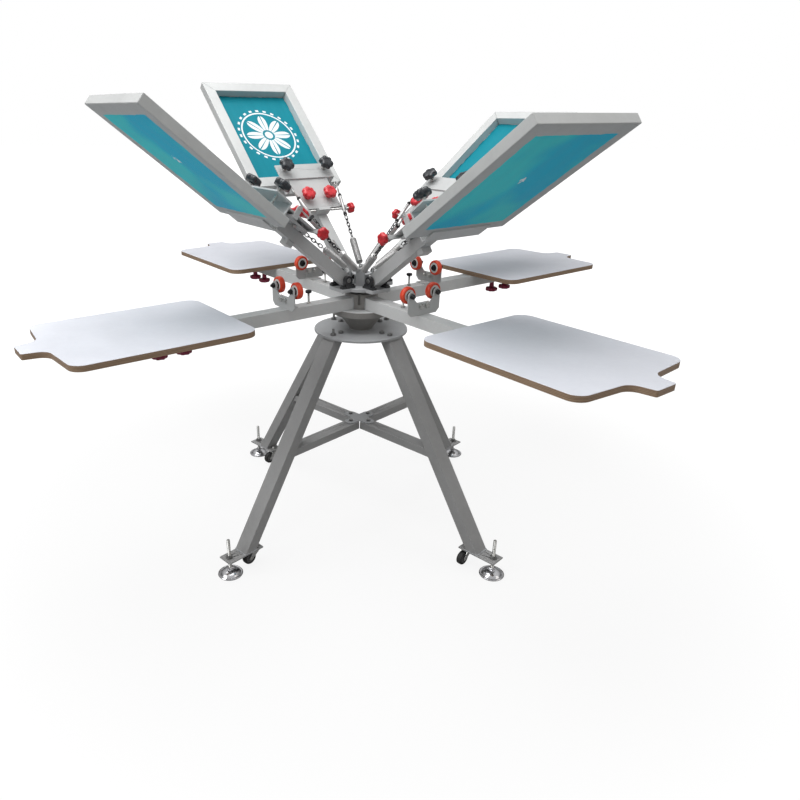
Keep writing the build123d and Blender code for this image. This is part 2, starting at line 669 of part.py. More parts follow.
# hardware of one station: platen knobs, wheel axles, bracket bolts and the rest screw
PLATEN_KNOB = 25.0
BOLT_HEAD = 6.5
BOLT_LENGTH = 18.0
REST_TOP = 939.6
WHEEL_BACK = WHEEL_STATION + WHEEL_THICK / 2
with BuildPart() as station_hardware:
    for knob_radius in PLATEN_KNOB_RADII:
        with BuildSketch(Plane.XY.offset(806)):
            with Locations((knob_radius, 0)):
                star(PLATEN_KNOB, 7)
        extrude(amount=18)
        with BuildSketch(Plane.XY.offset(824)):
            with Locations((knob_radius, 0)):
                Circle(9)
        extrude(amount=ARM_BOTTOM - 824 - CLEAR)
        with BuildSketch(Plane.XY.offset(824)):
            with Locations((knob_radius, 0)):
                Circle(4)
        extrude(amount=ARM_TOP + 11 - 824)
    for side in (-1, 1):
        axle = (side * WHEEL_OFFSET, WHEEL_HEIGHT)
        with BuildSketch(outward(WHEEL_STATION - WHEEL_THICK / 2 - 0.5)):
            with Locations(axle):
                RegularPolygon(NUT, 6, major_radius=False)
        extrude(amount=-6)
        with BuildSketch(outward(WHEEL_STATION - WHEEL_THICK / 2 - 0.5)):
            with Locations(axle):
                Circle(AXLE_RADIUS)
        extrude(amount=EAR_PLATE_IN + 13 - WHEEL_STATION + WHEEL_THICK / 2)
        with BuildSketch(outward(WHEEL_BACK + 0.5)):
            with Locations(axle):
                Circle(8)
                Circle(AXLE_RADIUS + CLEAR, mode=Mode.SUBTRACT)
        extrude(amount=EAR_PLATE_IN - WHEEL_BACK - 0.5 - CLEAR)
        with BuildSketch(outward(EAR_PLATE_IN + EAR_PLATE_THICK + CLEAR)):
            with Locations(axle):
                RegularPolygon(8.5, 6, major_radius=False)
                Circle(AXLE_RADIUS + CLEAR, mode=Mode.SUBTRACT)
        extrude(amount=7)
        bolt = (side * GUIDE_BOLT[0], GUIDE_BOLT[1])
        with BuildSketch(outward(EAR_PLATE_IN + EAR_PLATE_THICK + CLEAR)):
            with Locations(bolt):
                RegularPolygon(NUT, 6, major_radius=False)
        extrude(amount=BOLT_HEAD)
        with BuildSketch(outward(EAR_PLATE_IN + EAR_PLATE_THICK + CLEAR)):
            with Locations(bolt):
                Circle(BRACKET_BOLT)
        extrude(amount=-BOLT_LENGTH)
        with BuildSketch(outward(EAR_PLATE_IN - ANGLE_THICK - CLEAR)):
            with Locations(bolt):
                RegularPolygon(NUT, 6, major_radius=False)
        extrude(amount=1 - NUT_HEIGHT)
    with BuildSketch(Plane.XY.offset(ARM_TOP)):
        with Locations((REST_SCREW_RADIUS, 0)):
            RegularPolygon(6.5, 6, major_radius=False)
    extrude(amount=6)
    with BuildSketch(Plane.XY.offset(ARM_TOP - 10)):
        with Locations((REST_SCREW_RADIUS, 0)):
            Circle(4)
    extrude(amount=REST_TOP - ARM_TOP + 4)
    with BuildSketch(Plane.XY.offset(REST_TOP)):
        with Locations((REST_SCREW_RADIUS, 0)):
            Circle(11)
    extrude(amount=-9)

with BuildPart() as carousel_hardware:
    for number in STATIONS:
        add(station_hardware.part.moved(turned(azimuth(FIRST_AZIMUTH, number))))
save(carousel_hardware.part, "carousel_hardware")

# ---------------------------------------------------------------- print carousel
BOSS_RADIUS = 34.0
BOSS_BOTTOM = 908.0
NECK_RADIUS = 27.0
RIM_RADIUS = 36.0
RIM_BOTTOM = 966.5
RIM_TOP = 972.0
PAD_OUT = 116.0
PAD_HALF = 44.0
PAD_ROUND = 10.0
BLOCK_REACH = 28.0  # half length of a pillow block base
BLOCK_BOLTS = 22.0  # its bolts, either side of the hinge
BLOCK_MIDDLE = (BLOCK_IN + BLOCK_OUT) / 2
LUG_IN = 38.5
LUG_THICK = 5.0
LUG_HALF = 16.0
LUG_HOLE = 9.0  # sideways offset of the two hook holes in a lug
DIAGONAL = 45.0
with BuildPart() as print_disc:
    with BuildSketch(Plane.XY.offset(DISC_BOTTOM)):
        Circle(DISC_RADIUS)
        with PolarLocations(PAD_OUT - DISC_RADIUS / 2, 4, FIRST_AZIMUTH):
            RectangleRounded(DISC_RADIUS, 2 * PAD_HALF, PAD_ROUND)
    extrude(amount=DISC_TOP - DISC_BOTTOM)
    with BuildSketch(Plane.XY.offset(BOSS_BOTTOM)):
        Circle(BOSS_RADIUS)
    extrude(amount=DISC_BOTTOM - BOSS_BOTTOM)
    with BuildSketch(Plane.XY.offset(DISC_TOP)):
        Circle(NECK_RADIUS)
    extrude(amount=RIM_TOP - DISC_TOP)
    with BuildSketch(Plane.XY.offset(RIM_BOTTOM)):
        Circle(RIM_RADIUS)
    extrude(amount=RIM_TOP - RIM_BOTTOM)
    with BuildSketch(Plane.XY.offset(DISC_TOP)):
        with PolarLocations(LUG_IN + LUG_THICK / 2, 4, FIRST_AZIMUTH + DIAGONAL):
            Rectangle(LUG_THICK, 2 * LUG_HALF)
    extrude(amount=HOOK_HEIGHT + 8 - DISC_TOP)
    for turn in range(4):
        lug_turn = turned(FIRST_AZIMUTH + DIAGONAL + 90 * turn)
        with BuildSketch(Plane(lug_turn * outward(LUG_IN).location)):
            with Locations((LUG_HOLE, HOOK_HEIGHT), (-LUG_HOLE, HOOK_HEIGHT)):
                Circle(3.2)
        extrude(amount=LUG_THICK, mode=Mode.SUBTRACT)
    with BuildSketch(Plane.XZ):
        with BuildLine():
            Polyline(
                (0, BOSS_BOTTOM),
                (DISC_BEARING[3] + CLEAR, BOSS_BOTTOM),
                (DISC_BEARING[3] + CLEAR, DISC_BEARING[1] + 0.1),
                (JOURNAL_RADIUS + 1.5, DISC_BEARING[1] + 0.1),
                (JOURNAL_RADIUS + 1.5, NECK_BEARING[0] - CLEAR),
                (NECK_BEARING[3] + CLEAR, NECK_BEARING[0] - CLEAR),
                (NECK_BEARING[3] + CLEAR, NECK_BEARING[1] + CLEAR),
                (JOURNAL_RADIUS + 1.5, NECK_BEARING[1] + CLEAR),
                (JOURNAL_RADIUS + 1.5, RIM_TOP),
                (0, RIM_TOP),
                close=True,
            )
        make_face()
    revolve(axis=Axis.Z, mode=Mode.SUBTRACT)
    with BuildSketch(Plane.XY.offset(DISC_TOP)):
        for reach in (HINGE_RADIUS - BLOCK_BOLTS, HINGE_RADIUS + BLOCK_BOLTS):
            with PolarLocations(0, 4, FIRST_AZIMUTH):
                with Locations((reach, BLOCK_MIDDLE), (reach, -BLOCK_MIDDLE)):
                    Circle(3.2)
    extrude(amount=DISC_BOTTOM - DISC_TOP, mode=Mode.SUBTRACT)
save(print_disc.part, "print_disc")

# pillow block with its two bolts
BLOCK_FOOT = 8.0
BLOCK_HOUSING = 15.5
with BuildPart() as pillow_block:
    with BuildSketch(Plane.XY.offset(DISC_TOP)):
        with Locations((HINGE_RADIUS, BLOCK_MIDDLE)):
            Rectangle(2 * BLOCK_REACH, BLOCK_OUT - BLOCK_IN)
        for reach in (HINGE_RADIUS - BLOCK_BOLTS, HINGE_RADIUS + BLOCK_BOLTS):
            with Locations((reach, BLOCK_MIDDLE)):
                Circle(3.2, mode=Mode.SUBTRACT)
    extrude(amount=BLOCK_FOOT)
    with BuildSketch(across(BLOCK_MIDDLE)):
        with Locations((HINGE_RADIUS, HINGE_HEIGHT)):
            Circle(BLOCK_HOUSING)
        with Locations((HINGE_RADIUS, DISC_TOP + BLOCK_FOOT / 2)):
            Rectangle(2 * BLOCK_HOUSING - 2, HINGE_HEIGHT - DISC_TOP, align=(Align.CENTER, Align.MIN))
    extrude(amount=(BLOCK_OUT - BLOCK_IN) / 2 - 2, both=True)
    with BuildSketch(across(BLOCK_MIDDLE)):
        with Locations((HINGE_RADIUS, HINGE_HEIGHT)):
            Circle(PIN_RADIUS + 0.1)
    extrude(amount=BLOCK_OUT, both=True, mode=Mode.SUBTRACT)
    for reach in (HINGE_RADIUS - BLOCK_BOLTS, HINGE_RADIUS + BLOCK_BOLTS):
        with BuildSketch(Plane.XY.offset(DISC_TOP + BLOCK_FOOT + CLEAR)):
            with Locations((reach, BLOCK_MIDDLE)):
                RegularPolygon(5, 6, major_radius=False)
        extrude(amount=5)
        with BuildSketch(Plane.XY.offset(DISC_TOP + BLOCK_FOOT + CLEAR)):
            with Locations((reach, BLOCK_MIDDLE)):
                Circle(3)
        extrude(amount=-BLOCK_FOOT - 15)

with BuildPart() as pillow_blocks:
    for number in STATIONS:
        place = turned(azimuth(FIRST_AZIMUTH, number))
        add(pillow_block.part.moved(place))
        add(pillow_block.part.mirror(Plane.XZ).moved(place))
save(pillow_blocks.part, "pillow_blocks")

# ---------------------------------------------------------------- print head, drawn lowered
HEAD_WALL = 2.5
TUBE_HALF = HEAD_ARM / 2
HINGE_SLEEVE = 12.0
BASE_IN = 268.0
BASE_LENGTH = 120.0
BASE_THICK = 6.0
BASE_HALF = 72.0
BASE_TOP = TUBE_HALF + BASE_THICK
RAIL_TOP = CARRIAGE_BOTTOM - 0.3
RAIL_PLACES = ((286.0, 0.0), (378.0, 0.0))
TAB_WIDTH = 18.0
EAR_THICK = 5.0
HOOK_EYE = 4.5
with BuildPart() as arm_tube:
    with BuildSketch(outward(HEAD_ARM_BACK)):
        Rectangle(HEAD_ARM, HEAD_ARM)
    extrude(amount=HEAD_ARM_END - HEAD_ARM_BACK)
    with BuildSketch(outward(HEAD_ARM_BACK + HEAD_WALL)):
        Rectangle(HEAD_ARM - 2 * HEAD_WALL, HEAD_ARM - 2 * HEAD_WALL)
    extrude(amount=HEAD_ARM_END - HEAD_ARM_BACK, mode=Mode.SUBTRACT)
    with BuildSketch(across(0)):
        Circle(HINGE_SLEEVE)
    extrude(amount=BLOCK_IN, both=True, mode=Mode.SUBTRACT)

with BuildPart() as hinge_sleeve:
    with BuildSketch(across(0)):
        Circle(HINGE_SLEEVE)
        Circle(PIN_RADIUS + CLEAR, mode=Mode.SUBTRACT)
    extrude(amount=BLOCK_IN - 0.6, both=True)

with BuildPart() as hinge_pin:
    with BuildSketch(across(0)):
        Circle(PIN_RADIUS)
    extrude(amount=BLOCK_OUT, both=True)

with BuildPart() as stop_block:
    with BuildSketch(outward(STOP_BLOCK_IN)):
        with Locations((0, -TUBE_HALF)):
            Rectangle(HEAD_ARM, STOP_BLOCK_DROP, align=(Align.CENTER, Align.MAX))
    extrude(amount=STOP_BLOCK_OUT - STOP_BLOCK_IN)

with BuildPart() as base_plate:
    with BuildSketch(Plane.XY.offset(TUBE_HALF)):
        with Locations((BASE_IN, 0)):
            Rectangle(BASE_LENGTH, 2 * BASE_HALF, align=(Align.MIN, Align.CENTER))
        for side in (-1, 1):
            with Locations((LOCK_KNOB[0], side * LOCK_KNOB[1])):
                SlotCenterToCenter(16, 11, rotation=90, mode=Mode.SUBTRACT)
    extrude(amount=BASE_THICK)

with BuildPart() as side_tabs:
    with BuildSketch(Plane.XY.offset(TUBE_HALF)):
        for side in (-1, 1):
            with Locations((EYE[0], side * (BASE_HALF + EYE[1] + 7) / 2)):
                Rectangle(TAB_WIDTH, EYE[1] + 7 - BASE_HALF)
    extrude(amount=BASE_THICK)

with BuildPart() as carriage_rails:
    with BuildSketch(Plane.XY.offset(BASE_TOP)):
        with Locations(*RAIL_PLACES):
            Rectangle(12, 116)
    extrude(amount=RAIL_TOP - BASE_TOP)

with BuildPart() as screw_lug:
    with BuildSketch(Plane.XY.offset(TUBE_HALF)):
        with Locations((SIDE_SCREW[0], 0)):
            Rectangle(12, 52)
    extrude(amount=30)

with BuildPart() as spring_ears:
    for side in (-1, 1):
        with BuildSketch(across(side * EYE[1])):
            with Locations((EYE[0], BASE_TOP)):
                Rectangle(TAB_WIDTH, EYE[2] - BASE_TOP, align=(Align.CENTER, Align.MIN))
            with Locations((EYE[0], EYE[2])):
                Circle(TAB_WIDTH / 2)
                Circle(HOOK_EYE, mode=Mode.SUBTRACT)
        extrude(amount=EAR_THICK / 2, both=True)

print_arm = welded(
    arm_tube,
    hinge_sleeve,
    hinge_pin,
    stop_block,
    base_plate,
    side_tabs,
    carriage_rails,
    screw_lug,
    spring_ears,
)

for number in STATIONS:
    save(print_arm.moved(head_place(number)), f"print_arm_{number}")

# carriage: sliding plate with the clamp channel for the screen frame
CARRIAGE_TOP = CARRIAGE_BOTTOM + CARRIAGE_THICK
CLAMP_BOTTOM = CARRIAGE_TOP
CLAMP_TOP = CLAMP_BOTTOM + CARRIAGE_THICK
JAW_BOTTOM = -52.0
JAW_TOP = FRAME_BOTTOM - MESH_THICK - 0.2
JAW_LENGTH = 52.0
WEB_THICK = 4.0
LIP_IN = 258.0
LIP_OUT = 264.0
LIP_BOTTOM = 28.0
LIP_HALF = 115.0
EAR_IN = 242.0
EAR_HALF = (98.0, 104.0)
EAR_HEIGHT = 18.0
KNOB_STEM_HOLE = 5.4
SIDE_STEM = 4.0
with BuildPart() as slide_plate:
    with BuildSketch(Plane.XY.offset(CARRIAGE_BOTTOM)):
        with Locations((LIP_OUT, 0)):
            Rectangle(CLAMP_IN - LIP_OUT, 2 * PLATE_HALF, align=(Align.MIN, Align.CENTER))
        with Locations((LOCK_KNOB[0], LOCK_KNOB[1]), (LOCK_KNOB[0], -LOCK_KNOB[1])):
            Circle(KNOB_STEM_HOLE, mode=Mode.SUBTRACT)
    extrude(amount=CARRIAGE_THICK)

with BuildPart() as clamp_top:
    with BuildSketch(Plane.XY.offset(CLAMP_BOTTOM)):
        with Locations((CLAMP_IN, 0)):
            Rectangle(CLAMP_OUT - CLAMP_IN, 2 * CLAMP_HALF, align=(Align.MIN, Align.CENTER))
        with Locations((CLAMP_KNOB[0], CLAMP_KNOB[1]), (CLAMP_KNOB[0], -CLAMP_KNOB[1])):
            Circle(KNOB_STEM_HOLE, mode=Mode.SUBTRACT)
    extrude(amount=CARRIAGE_THICK)

with BuildPart() as clamp_web:
    with BuildSketch(outward(CLAMP_IN)):
        with Locations((0, JAW_BOTTOM)):
            Rectangle(2 * CLAMP_HALF, CLAMP_BOTTOM - JAW_BOTTOM, align=(Align.CENTER, Align.MIN))
    extrude(amount=WEB_THICK)

with BuildPart() as clamp_jaw:
    with BuildSketch(Plane.XY.offset(JAW_BOTTOM)):
        with Locations((CLAMP_IN + WEB_THICK, 0)):
            Rectangle(JAW_LENGTH, 2 * CLAMP_HALF, align=(Align.MIN, Align.CENTER))
    extrude(amount=JAW_TOP - JAW_BOTTOM)

with BuildPart() as front_lip:
    with BuildSketch(outward(LIP_IN)):
        with Locations((0, LIP_BOTTOM)):
            Rectangle(2 * LIP_HALF, CARRIAGE_TOP - LIP_BOTTOM, align=(Align.CENTER, Align.MIN))
    extrude(amount=LIP_OUT - LIP_IN)

with BuildPart() as screw_ears:
    for side in (-1, 1):
        with BuildSketch(across(side * (EAR_HALF[0] + EAR_HALF[1]) / 2)):
            with Locations((EAR_IN, LIP_BOTTOM)):
                Rectangle(LIP_IN - EAR_IN, EAR_HEIGHT, align=(Align.MIN, Align.MIN))
            with Locations(SIDE_SCREW):
                Circle(SIDE_STEM + 0.4, mode=Mode.SUBTRACT)
        extrude(amount=(EAR_HALF[1] - EAR_HALF[0]) / 2, both=True)

head_carriage = welded(slide_plate, clamp_top, clamp_web, clamp_jaw, front_lip, screw_ears)
for number in STATIONS:
    save(head_carriage.moved(head_place(number)), f"head_carriage_{number}")

# screen frame: four mitred aluminium tubes, and the mesh under them
FRAME_MIDDLE = FRAME_IN + FRAME_LENGTH / 2
FRAME_OUT = FRAME_IN + FRAME_LENGTH
FRAME_HALF = FRAME_WIDTH / 2
DRAIN_HOLE = 3.0
DRAIN_OFFSET = 150.0


def side_tube(inset, reach):
    """Corners of one long tube between two distances in from the frame's outline."""
    return [
        (FRAME_IN + inset, FRAME_HALF - inset),
        (FRAME_OUT - inset, FRAME_HALF - inset),
        (FRAME_OUT - reach, FRAME_HALF - reach),
        (FRAME_IN + reach, FRAME_HALF - reach),
    ]


def end_tube(inset, reach):
    """Corners of the outer short tube between two distances in from the frame's outline."""
    return [
        (FRAME_OUT - inset, inset - FRAME_HALF),
        (FRAME_OUT - inset, FRAME_HALF - inset),
        (FRAME_OUT - reach, FRAME_HALF - reach),
        (FRAME_OUT - reach, reach - FRAME_HALF),
    ]


def frame_tube(corners, drained):
    """Box tube with mitred ends over one side of the frame."""
    with BuildPart() as tube:
        with BuildSketch(Plane.XY.offset(FRAME_BOTTOM)):
            Polygon(*corners(0, FRAME_MEMBER), align=None)
        extrude(amount=FRAME_THICK)
        with BuildSketch(Plane.XY.offset(FRAME_BOTTOM + FRAME_WALL)):
            Polygon(*corners(FRAME_WALL, FRAME_MEMBER - FRAME_WALL), align=None)
        extrude(amount=FRAME_THICK - 2 * FRAME_WALL, mode=Mode.SUBTRACT)
        if drained:
            with BuildSketch(outward(FRAME_OUT)):
                for offset in (DRAIN_OFFSET, -DRAIN_OFFSET):
                    with Locations((offset, FRAME_BOTTOM + FRAME_THICK / 2)):
                        Circle(DRAIN_HOLE)
            extrude(amount=-2 * FRAME_WALL, mode=Mode.SUBTRACT)
    return tube.part


middle = Plane(origin=(FRAME_MIDDLE, 0, 0), z_dir=(1, 0, 0))
long_tube = frame_tube(side_tube, False)
outer_tube = frame_tube(end_tube, True)
inner_tube = frame_tube(end_tube, False).mirror(middle)
frame_tubes = (long_tube, long_tube.mirror(Plane.XZ), outer_tube, inner_tube)
screen_frame = Compound([tube for part in frame_tubes for tube in part.solids()])

with BuildPart() as screen_mesh:
    with BuildSketch(Plane.XY.offset(FRAME_BOTTOM - MESH_THICK)):
        with Locations((FRAME_MIDDLE, 0)):
            Rectangle(FRAME_LENGTH - 4, FRAME_WIDTH - 4)
    extrude(amount=MESH_THICK)

for number in STATIONS:
    save(screen_frame.moved(head_place(number)), f"screen_frame_{number}")
    save(screen_mesh.part.moved(head_place(number)), f"screen_mesh_{number}")

# knobs of one head: two frame clamps, two carriage locks, two side adjusters
CLAMP_RADIUS = 24.0
CLAMP_HEAD = (67.0, 22.0)  # bottom and height of each knob's head
LOCK_RADIUS = 25.0
LOCK_HEAD = (56.0, 19.0)
SIDE_RADIUS = 19.0
SIDE_HEAD = 19.0
SIDE_STEM_END = 34.4
KNOB_STEM = 5.0
KNOB_COLLAR = 10.0
FRAME_TOP = FRAME_BOTTOM + FRAME_THICK
LOCK_NUT_TOP = TUBE_HALF - 0.4
with BuildPart() as head_knobs:
    for side in (-1, 1):
        clamp_place = (CLAMP_KNOB[0], side * CLAMP_KNOB[1])
        lock_place = (LOCK_KNOB[0], side * LOCK_KNOB[1])
        with BuildSketch(Plane.XY.offset(CLAMP_HEAD[0])):
            with Locations(clamp_place):
                star(CLAMP_RADIUS, 6)
        extrude(amount=CLAMP_HEAD[1])
        with BuildSketch(Plane.XY.offset(FRAME_TOP + 0.1)):
            with Locations(clamp_place):
                Circle(KNOB_STEM)
        extrude(amount=CLAMP_HEAD[0] - FRAME_TOP)
        with BuildSketch(Plane.XY.offset(FRAME_TOP + 0.1)):
            with Locations(clamp_place):
                Circle(KNOB_COLLAR)
        extrude(amount=5)
        with BuildSketch(Plane.XY.offset(LOCK_HEAD[0])):
            with Locations(lock_place):
                star(LOCK_RADIUS, 7)
        extrude(amount=LOCK_HEAD[1])
        with BuildSketch(Plane.XY.offset(CARRIAGE_TOP + CLEAR)):
            with Locations(lock_place):
                Circle(KNOB_COLLAR)
        extrude(amount=LOCK_HEAD[0] - CARRIAGE_TOP)
        with BuildSketch(Plane.XY.offset(12)):
            with Locations(lock_place):
                Circle(KNOB_STEM)
        extrude(amount=CARRIAGE_TOP - 11)
        with BuildSketch(Plane.XY.offset(LOCK_NUT_TOP)):
            with Locations(lock_place):
                RegularPolygon(NUT, 6, major_radius=False)
        extrude(amount=1 - NUT_HEIGHT)
        with BuildSketch(across(side * SIDE_KNOB_OFFSET)):
            with Locations(SIDE_SCREW):
                star(SIDE_RADIUS, 6)
        extrude(amount=-side * SIDE_HEAD)
        with BuildSketch(across(side * SIDE_STEM_END)):
            with Locations(SIDE_SCREW):
                Circle(SIDE_STEM)
        extrude(amount=-side * (SIDE_KNOB_OFFSET - SIDE_STEM_END))

for number in STATIONS:
    save(head_knobs.part.moved(head_place(number)), f"head_knobs_{number}")

# lifting springs: hook, closed coil, chain and turnbuckle along one line, drawn as a spindle
COIL_RADIUS = 10.0
ROD_RADIUS = 2.0
with BuildPart() as head_springs:
    for number in STATIONS:
        for side in (-1, 1):
            diagonal = turned(azimuth(FIRST_AZIMUTH, number) + side * DIAGONAL)
            anchor_place = diagonal * Location((LUG_IN + LUG_THICK, -side * LUG_HOLE, HOOK_HEIGHT))
            eye_place = head_place(number) * Location((EYE[0], side * EYE[1], EYE[2]))
            anchor = anchor_place.position
            pull = eye_place.position - anchor
            reach = pull.length
            line = Plane(origin=anchor, x_dir=pull, z_dir=pull.cross(Vector(0, 0, 1)))
            with BuildSketch(line):
                with BuildLine():
                    Polyline(
                        (4, 0),
                        (4, ROD_RADIUS),
                        (16, ROD_RADIUS),
                        (16, COIL_RADIUS),
                        (120, COIL_RADIUS),
                        (120, ROD_RADIUS),
                        (160, ROD_RADIUS),
                        (160, 5),
                        (210, 5),
                        (210, ROD_RADIUS),
                        (reach - 12, ROD_RADIUS),
                        (reach - 12, 0),
                        close=True,
                    )
                make_face()
            revolve(axis=Axis(anchor, pull))
save(head_springs.part, "head_springs")
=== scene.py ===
from math import atan2, cos, pi, radians, sin, sqrt, tau

import bmesh
import bpy
from mathutils import Matrix, Vector


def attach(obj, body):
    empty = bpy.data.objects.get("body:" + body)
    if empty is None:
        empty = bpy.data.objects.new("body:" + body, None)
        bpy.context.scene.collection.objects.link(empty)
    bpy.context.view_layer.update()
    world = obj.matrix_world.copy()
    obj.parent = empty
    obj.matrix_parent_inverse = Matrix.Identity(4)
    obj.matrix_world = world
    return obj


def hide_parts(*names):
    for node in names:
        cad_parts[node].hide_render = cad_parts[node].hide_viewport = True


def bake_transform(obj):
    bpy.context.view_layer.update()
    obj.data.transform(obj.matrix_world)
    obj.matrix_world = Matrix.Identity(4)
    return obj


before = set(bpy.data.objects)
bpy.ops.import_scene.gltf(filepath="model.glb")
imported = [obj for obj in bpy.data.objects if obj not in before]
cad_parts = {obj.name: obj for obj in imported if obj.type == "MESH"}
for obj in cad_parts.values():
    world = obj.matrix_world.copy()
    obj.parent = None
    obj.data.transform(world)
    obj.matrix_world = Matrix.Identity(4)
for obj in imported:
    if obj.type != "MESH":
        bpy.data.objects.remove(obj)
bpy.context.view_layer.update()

# ---------------- places, in millimetres and degrees
MM = 0.001
STATIONS = (1, 2, 3, 4)
SIDES = (-1, 1)
FIRST_AZIMUTH = 219.0
LEG_AZIMUTH = 227.8
QUARTER = 90
TILTS = {1: 39.2, 2: 44.3, 3: 36.3, 4: 36.1}
HINGE_REACH = 85
HINGE_HEIGHT = 960

STILL = Matrix.Identity(4)
FACING_OUT = Matrix.Rotation(pi / 2, 4, "Y")  # Z to X
FACING_IN = Matrix.Rotation(-pi / 2, 4, "Y")  # Z to -X
FACING_LEFT = Matrix.Rotation(-pi / 2, 4, "X")  # Z to Y
FACING_RIGHT = Matrix.Rotation(pi / 2, 4, "X")  # Z to -Y
FACING_DOWN = Matrix.Rotation(pi, 4, "X")  # Z to -Z


def turned(angle):
    """Turn about the spindle, in degrees."""
    return Matrix.Rotation(radians(angle), 4, "Z")


def station(number):
    """Frame of a station: X outward along the platen arm, Z up."""
    return turned(FIRST_AZIMUTH - QUARTER * (number - 1))


def leg_place(number):
    """Frame of a leg: X outward, Z up."""
    return turned(LEG_AZIMUTH - QUARTER * (number - 1))


def at(x, y, z):
    """Plain shift."""
    return Matrix.Translation((x, y, z))


def raised(height):
    """Shift along Z."""
    return at(0, 0, height)


def head_place(number):
    """Frame of a print head at rest: X along the arm, Y sideways, Z off its top."""
    tilt = Matrix.Rotation(radians(-TILTS[number]), 4, "Y")
    return station(number) @ at(HINGE_REACH, 0, HINGE_HEIGHT) @ tilt


def aimed(start, direction):
    """Frame at a point with Z along a direction."""
    turn = Vector(direction).to_track_quat("Z", "Y").to_matrix().to_4x4()
    return Matrix.Translation(start) @ turn


def put(name, data):
    """New object in the scene."""
    made = bpy.data.objects.new(name, data)
    bpy.context.scene.collection.objects.link(made)
    return made


# ---------------- node helpers
NUMBER = "NodeSocketFloat"
WHOLE = "NodeSocketInt"
VECTOR = "NodeSocketVector"
COLOUR = "NodeSocketColor"
SHADER_GROUP = "ShaderNodeTree"


def feed(tree, made, inputs):
    """Sets inputs of a node, each to a constant or to another node's output."""
    for label, value in inputs.items():
        if isinstance(value, bpy.types.NodeSocket):
            tree.links.new(value, made.inputs[label])
        else:
            made.inputs[label].default_value = value


def node(tree, kind, inputs=None, **settings):
    """New node with its settings and its inputs."""
    made = tree.nodes.new(kind)
    for key, value in settings.items():
        setattr(made, key, value)
    feed(tree, made, inputs or {})
    return made


def maths(tree, operation, *values):
    """Output of a math node over numbers and outputs."""
    return node(tree, "ShaderNodeMath", dict(enumerate(values)), operation=operation).outputs[0]


def times(tree, first, second):
    """Product of two numbers."""
    return maths(tree, "MULTIPLY", first, second)


def squared_sum(tree, first, second):
    """Sum of two squares."""
    return maths(tree, "ADD", times(tree, first, first), times(tree, second, second))


def blended(tree, factor, first, second):
    """Mix of two colours."""
    ends = [(*end, 1.0) if isinstance(end, tuple) else end for end in (first, second)]
    return node(tree, "ShaderNodeMix", {0: factor, 6: ends[0], 7: ends[1]}, data_type="RGBA").outputs[2]


def noise(tree, where, scale, detail):
    """Grey value of a noise texture."""
    return node(tree, "ShaderNodeTexNoise", {"Vector": where, "Scale": scale, "Detail": detail}).outputs[0]


def stretched(tree, where, scale):
    """Coordinates scaled along each axis."""
    return node(tree, "ShaderNodeMapping", {"Vector": where, "Scale": scale}).outputs[0]


def remapped(tree, value, low, high, start=0.0, end=1.0, **settings):
    """Value between low and high, turned into one between start and end."""
    inputs = {0: value, 1: low, 2: high, 3: start, 4: end}
    return node(tree, "ShaderNodeMapRange", inputs, **settings).outputs[0]


def parts_of(tree, vector):
    """The X, Y and Z outputs of a vector."""
    return node(tree, "ShaderNodeSeparateXYZ", {0: vector}).outputs


# ---------------- shader groups
def new_group(kind, name, inputs, outputs):
    """Empty group, the values that it is given and its end node."""
    tree = bpy.data.node_groups.new(name, kind)
    for in_out, sockets in (("INPUT", inputs), ("OUTPUT", outputs)):
        for label, socket in sockets.items():
            tree.interface.new_socket(label, in_out=in_out, socket_type=socket)
    return tree, tree.nodes.new("NodeGroupInput").outputs, tree.nodes.new("NodeGroupOutput")


def make_tone_drift():
    """Slow and quick drift between two tones."""
    inputs = {"Where": VECTOR, "Scale": NUMBER, "Dark": COLOUR, "Light": COLOUR}
    tree, given, end = new_group(SHADER_GROUP, "tone_drift", inputs, {"Colour": COLOUR})
    slow = noise(tree, given["Where"], given["Scale"], 3.0)
    quick = noise(tree, given["Where"], times(tree, given["Scale"], 14.0), 2.0)
    drift = remapped(tree, maths(tree, "MULTIPLY_ADD", quick, 0.35, slow), 0.42, 0.92)
    feed(tree, end, {"Colour": blended(tree, drift, given["Dark"], given["Light"])})
    return tree


def make_surface_grain():
    """Fine surface relief and patchy roughness."""
    inputs = {"Where": VECTOR, **dict.fromkeys(("Grain", "Depth", "Patches", "Smooth", "Rough"), NUMBER)}
    outputs = {"Normal": VECTOR, "Roughness": NUMBER}
    tree, given, end = new_group(SHADER_GROUP, "surface_grain", inputs, outputs)
    fine = noise(tree, given["Where"], given["Grain"], 2.0)
    relief = node(tree, "ShaderNodeBump", {"Strength": 0.5, "Distance": given["Depth"], "Height": fine})
    patch = noise(tree, given["Where"], given["Patches"], 4.0)
    gloss = remapped(tree, patch, 0.3, 0.7, given["Smooth"], given["Rough"])
    feed(tree, end, {"Normal": relief.outputs[0], "Roughness": gloss})
    return tree


HALF_COATED = (0.2185, 0.1635)  # metres from the middle of the cloth, along and over
RAGGED_EDGE = 0.012
THREAD_PITCH = 0.0011


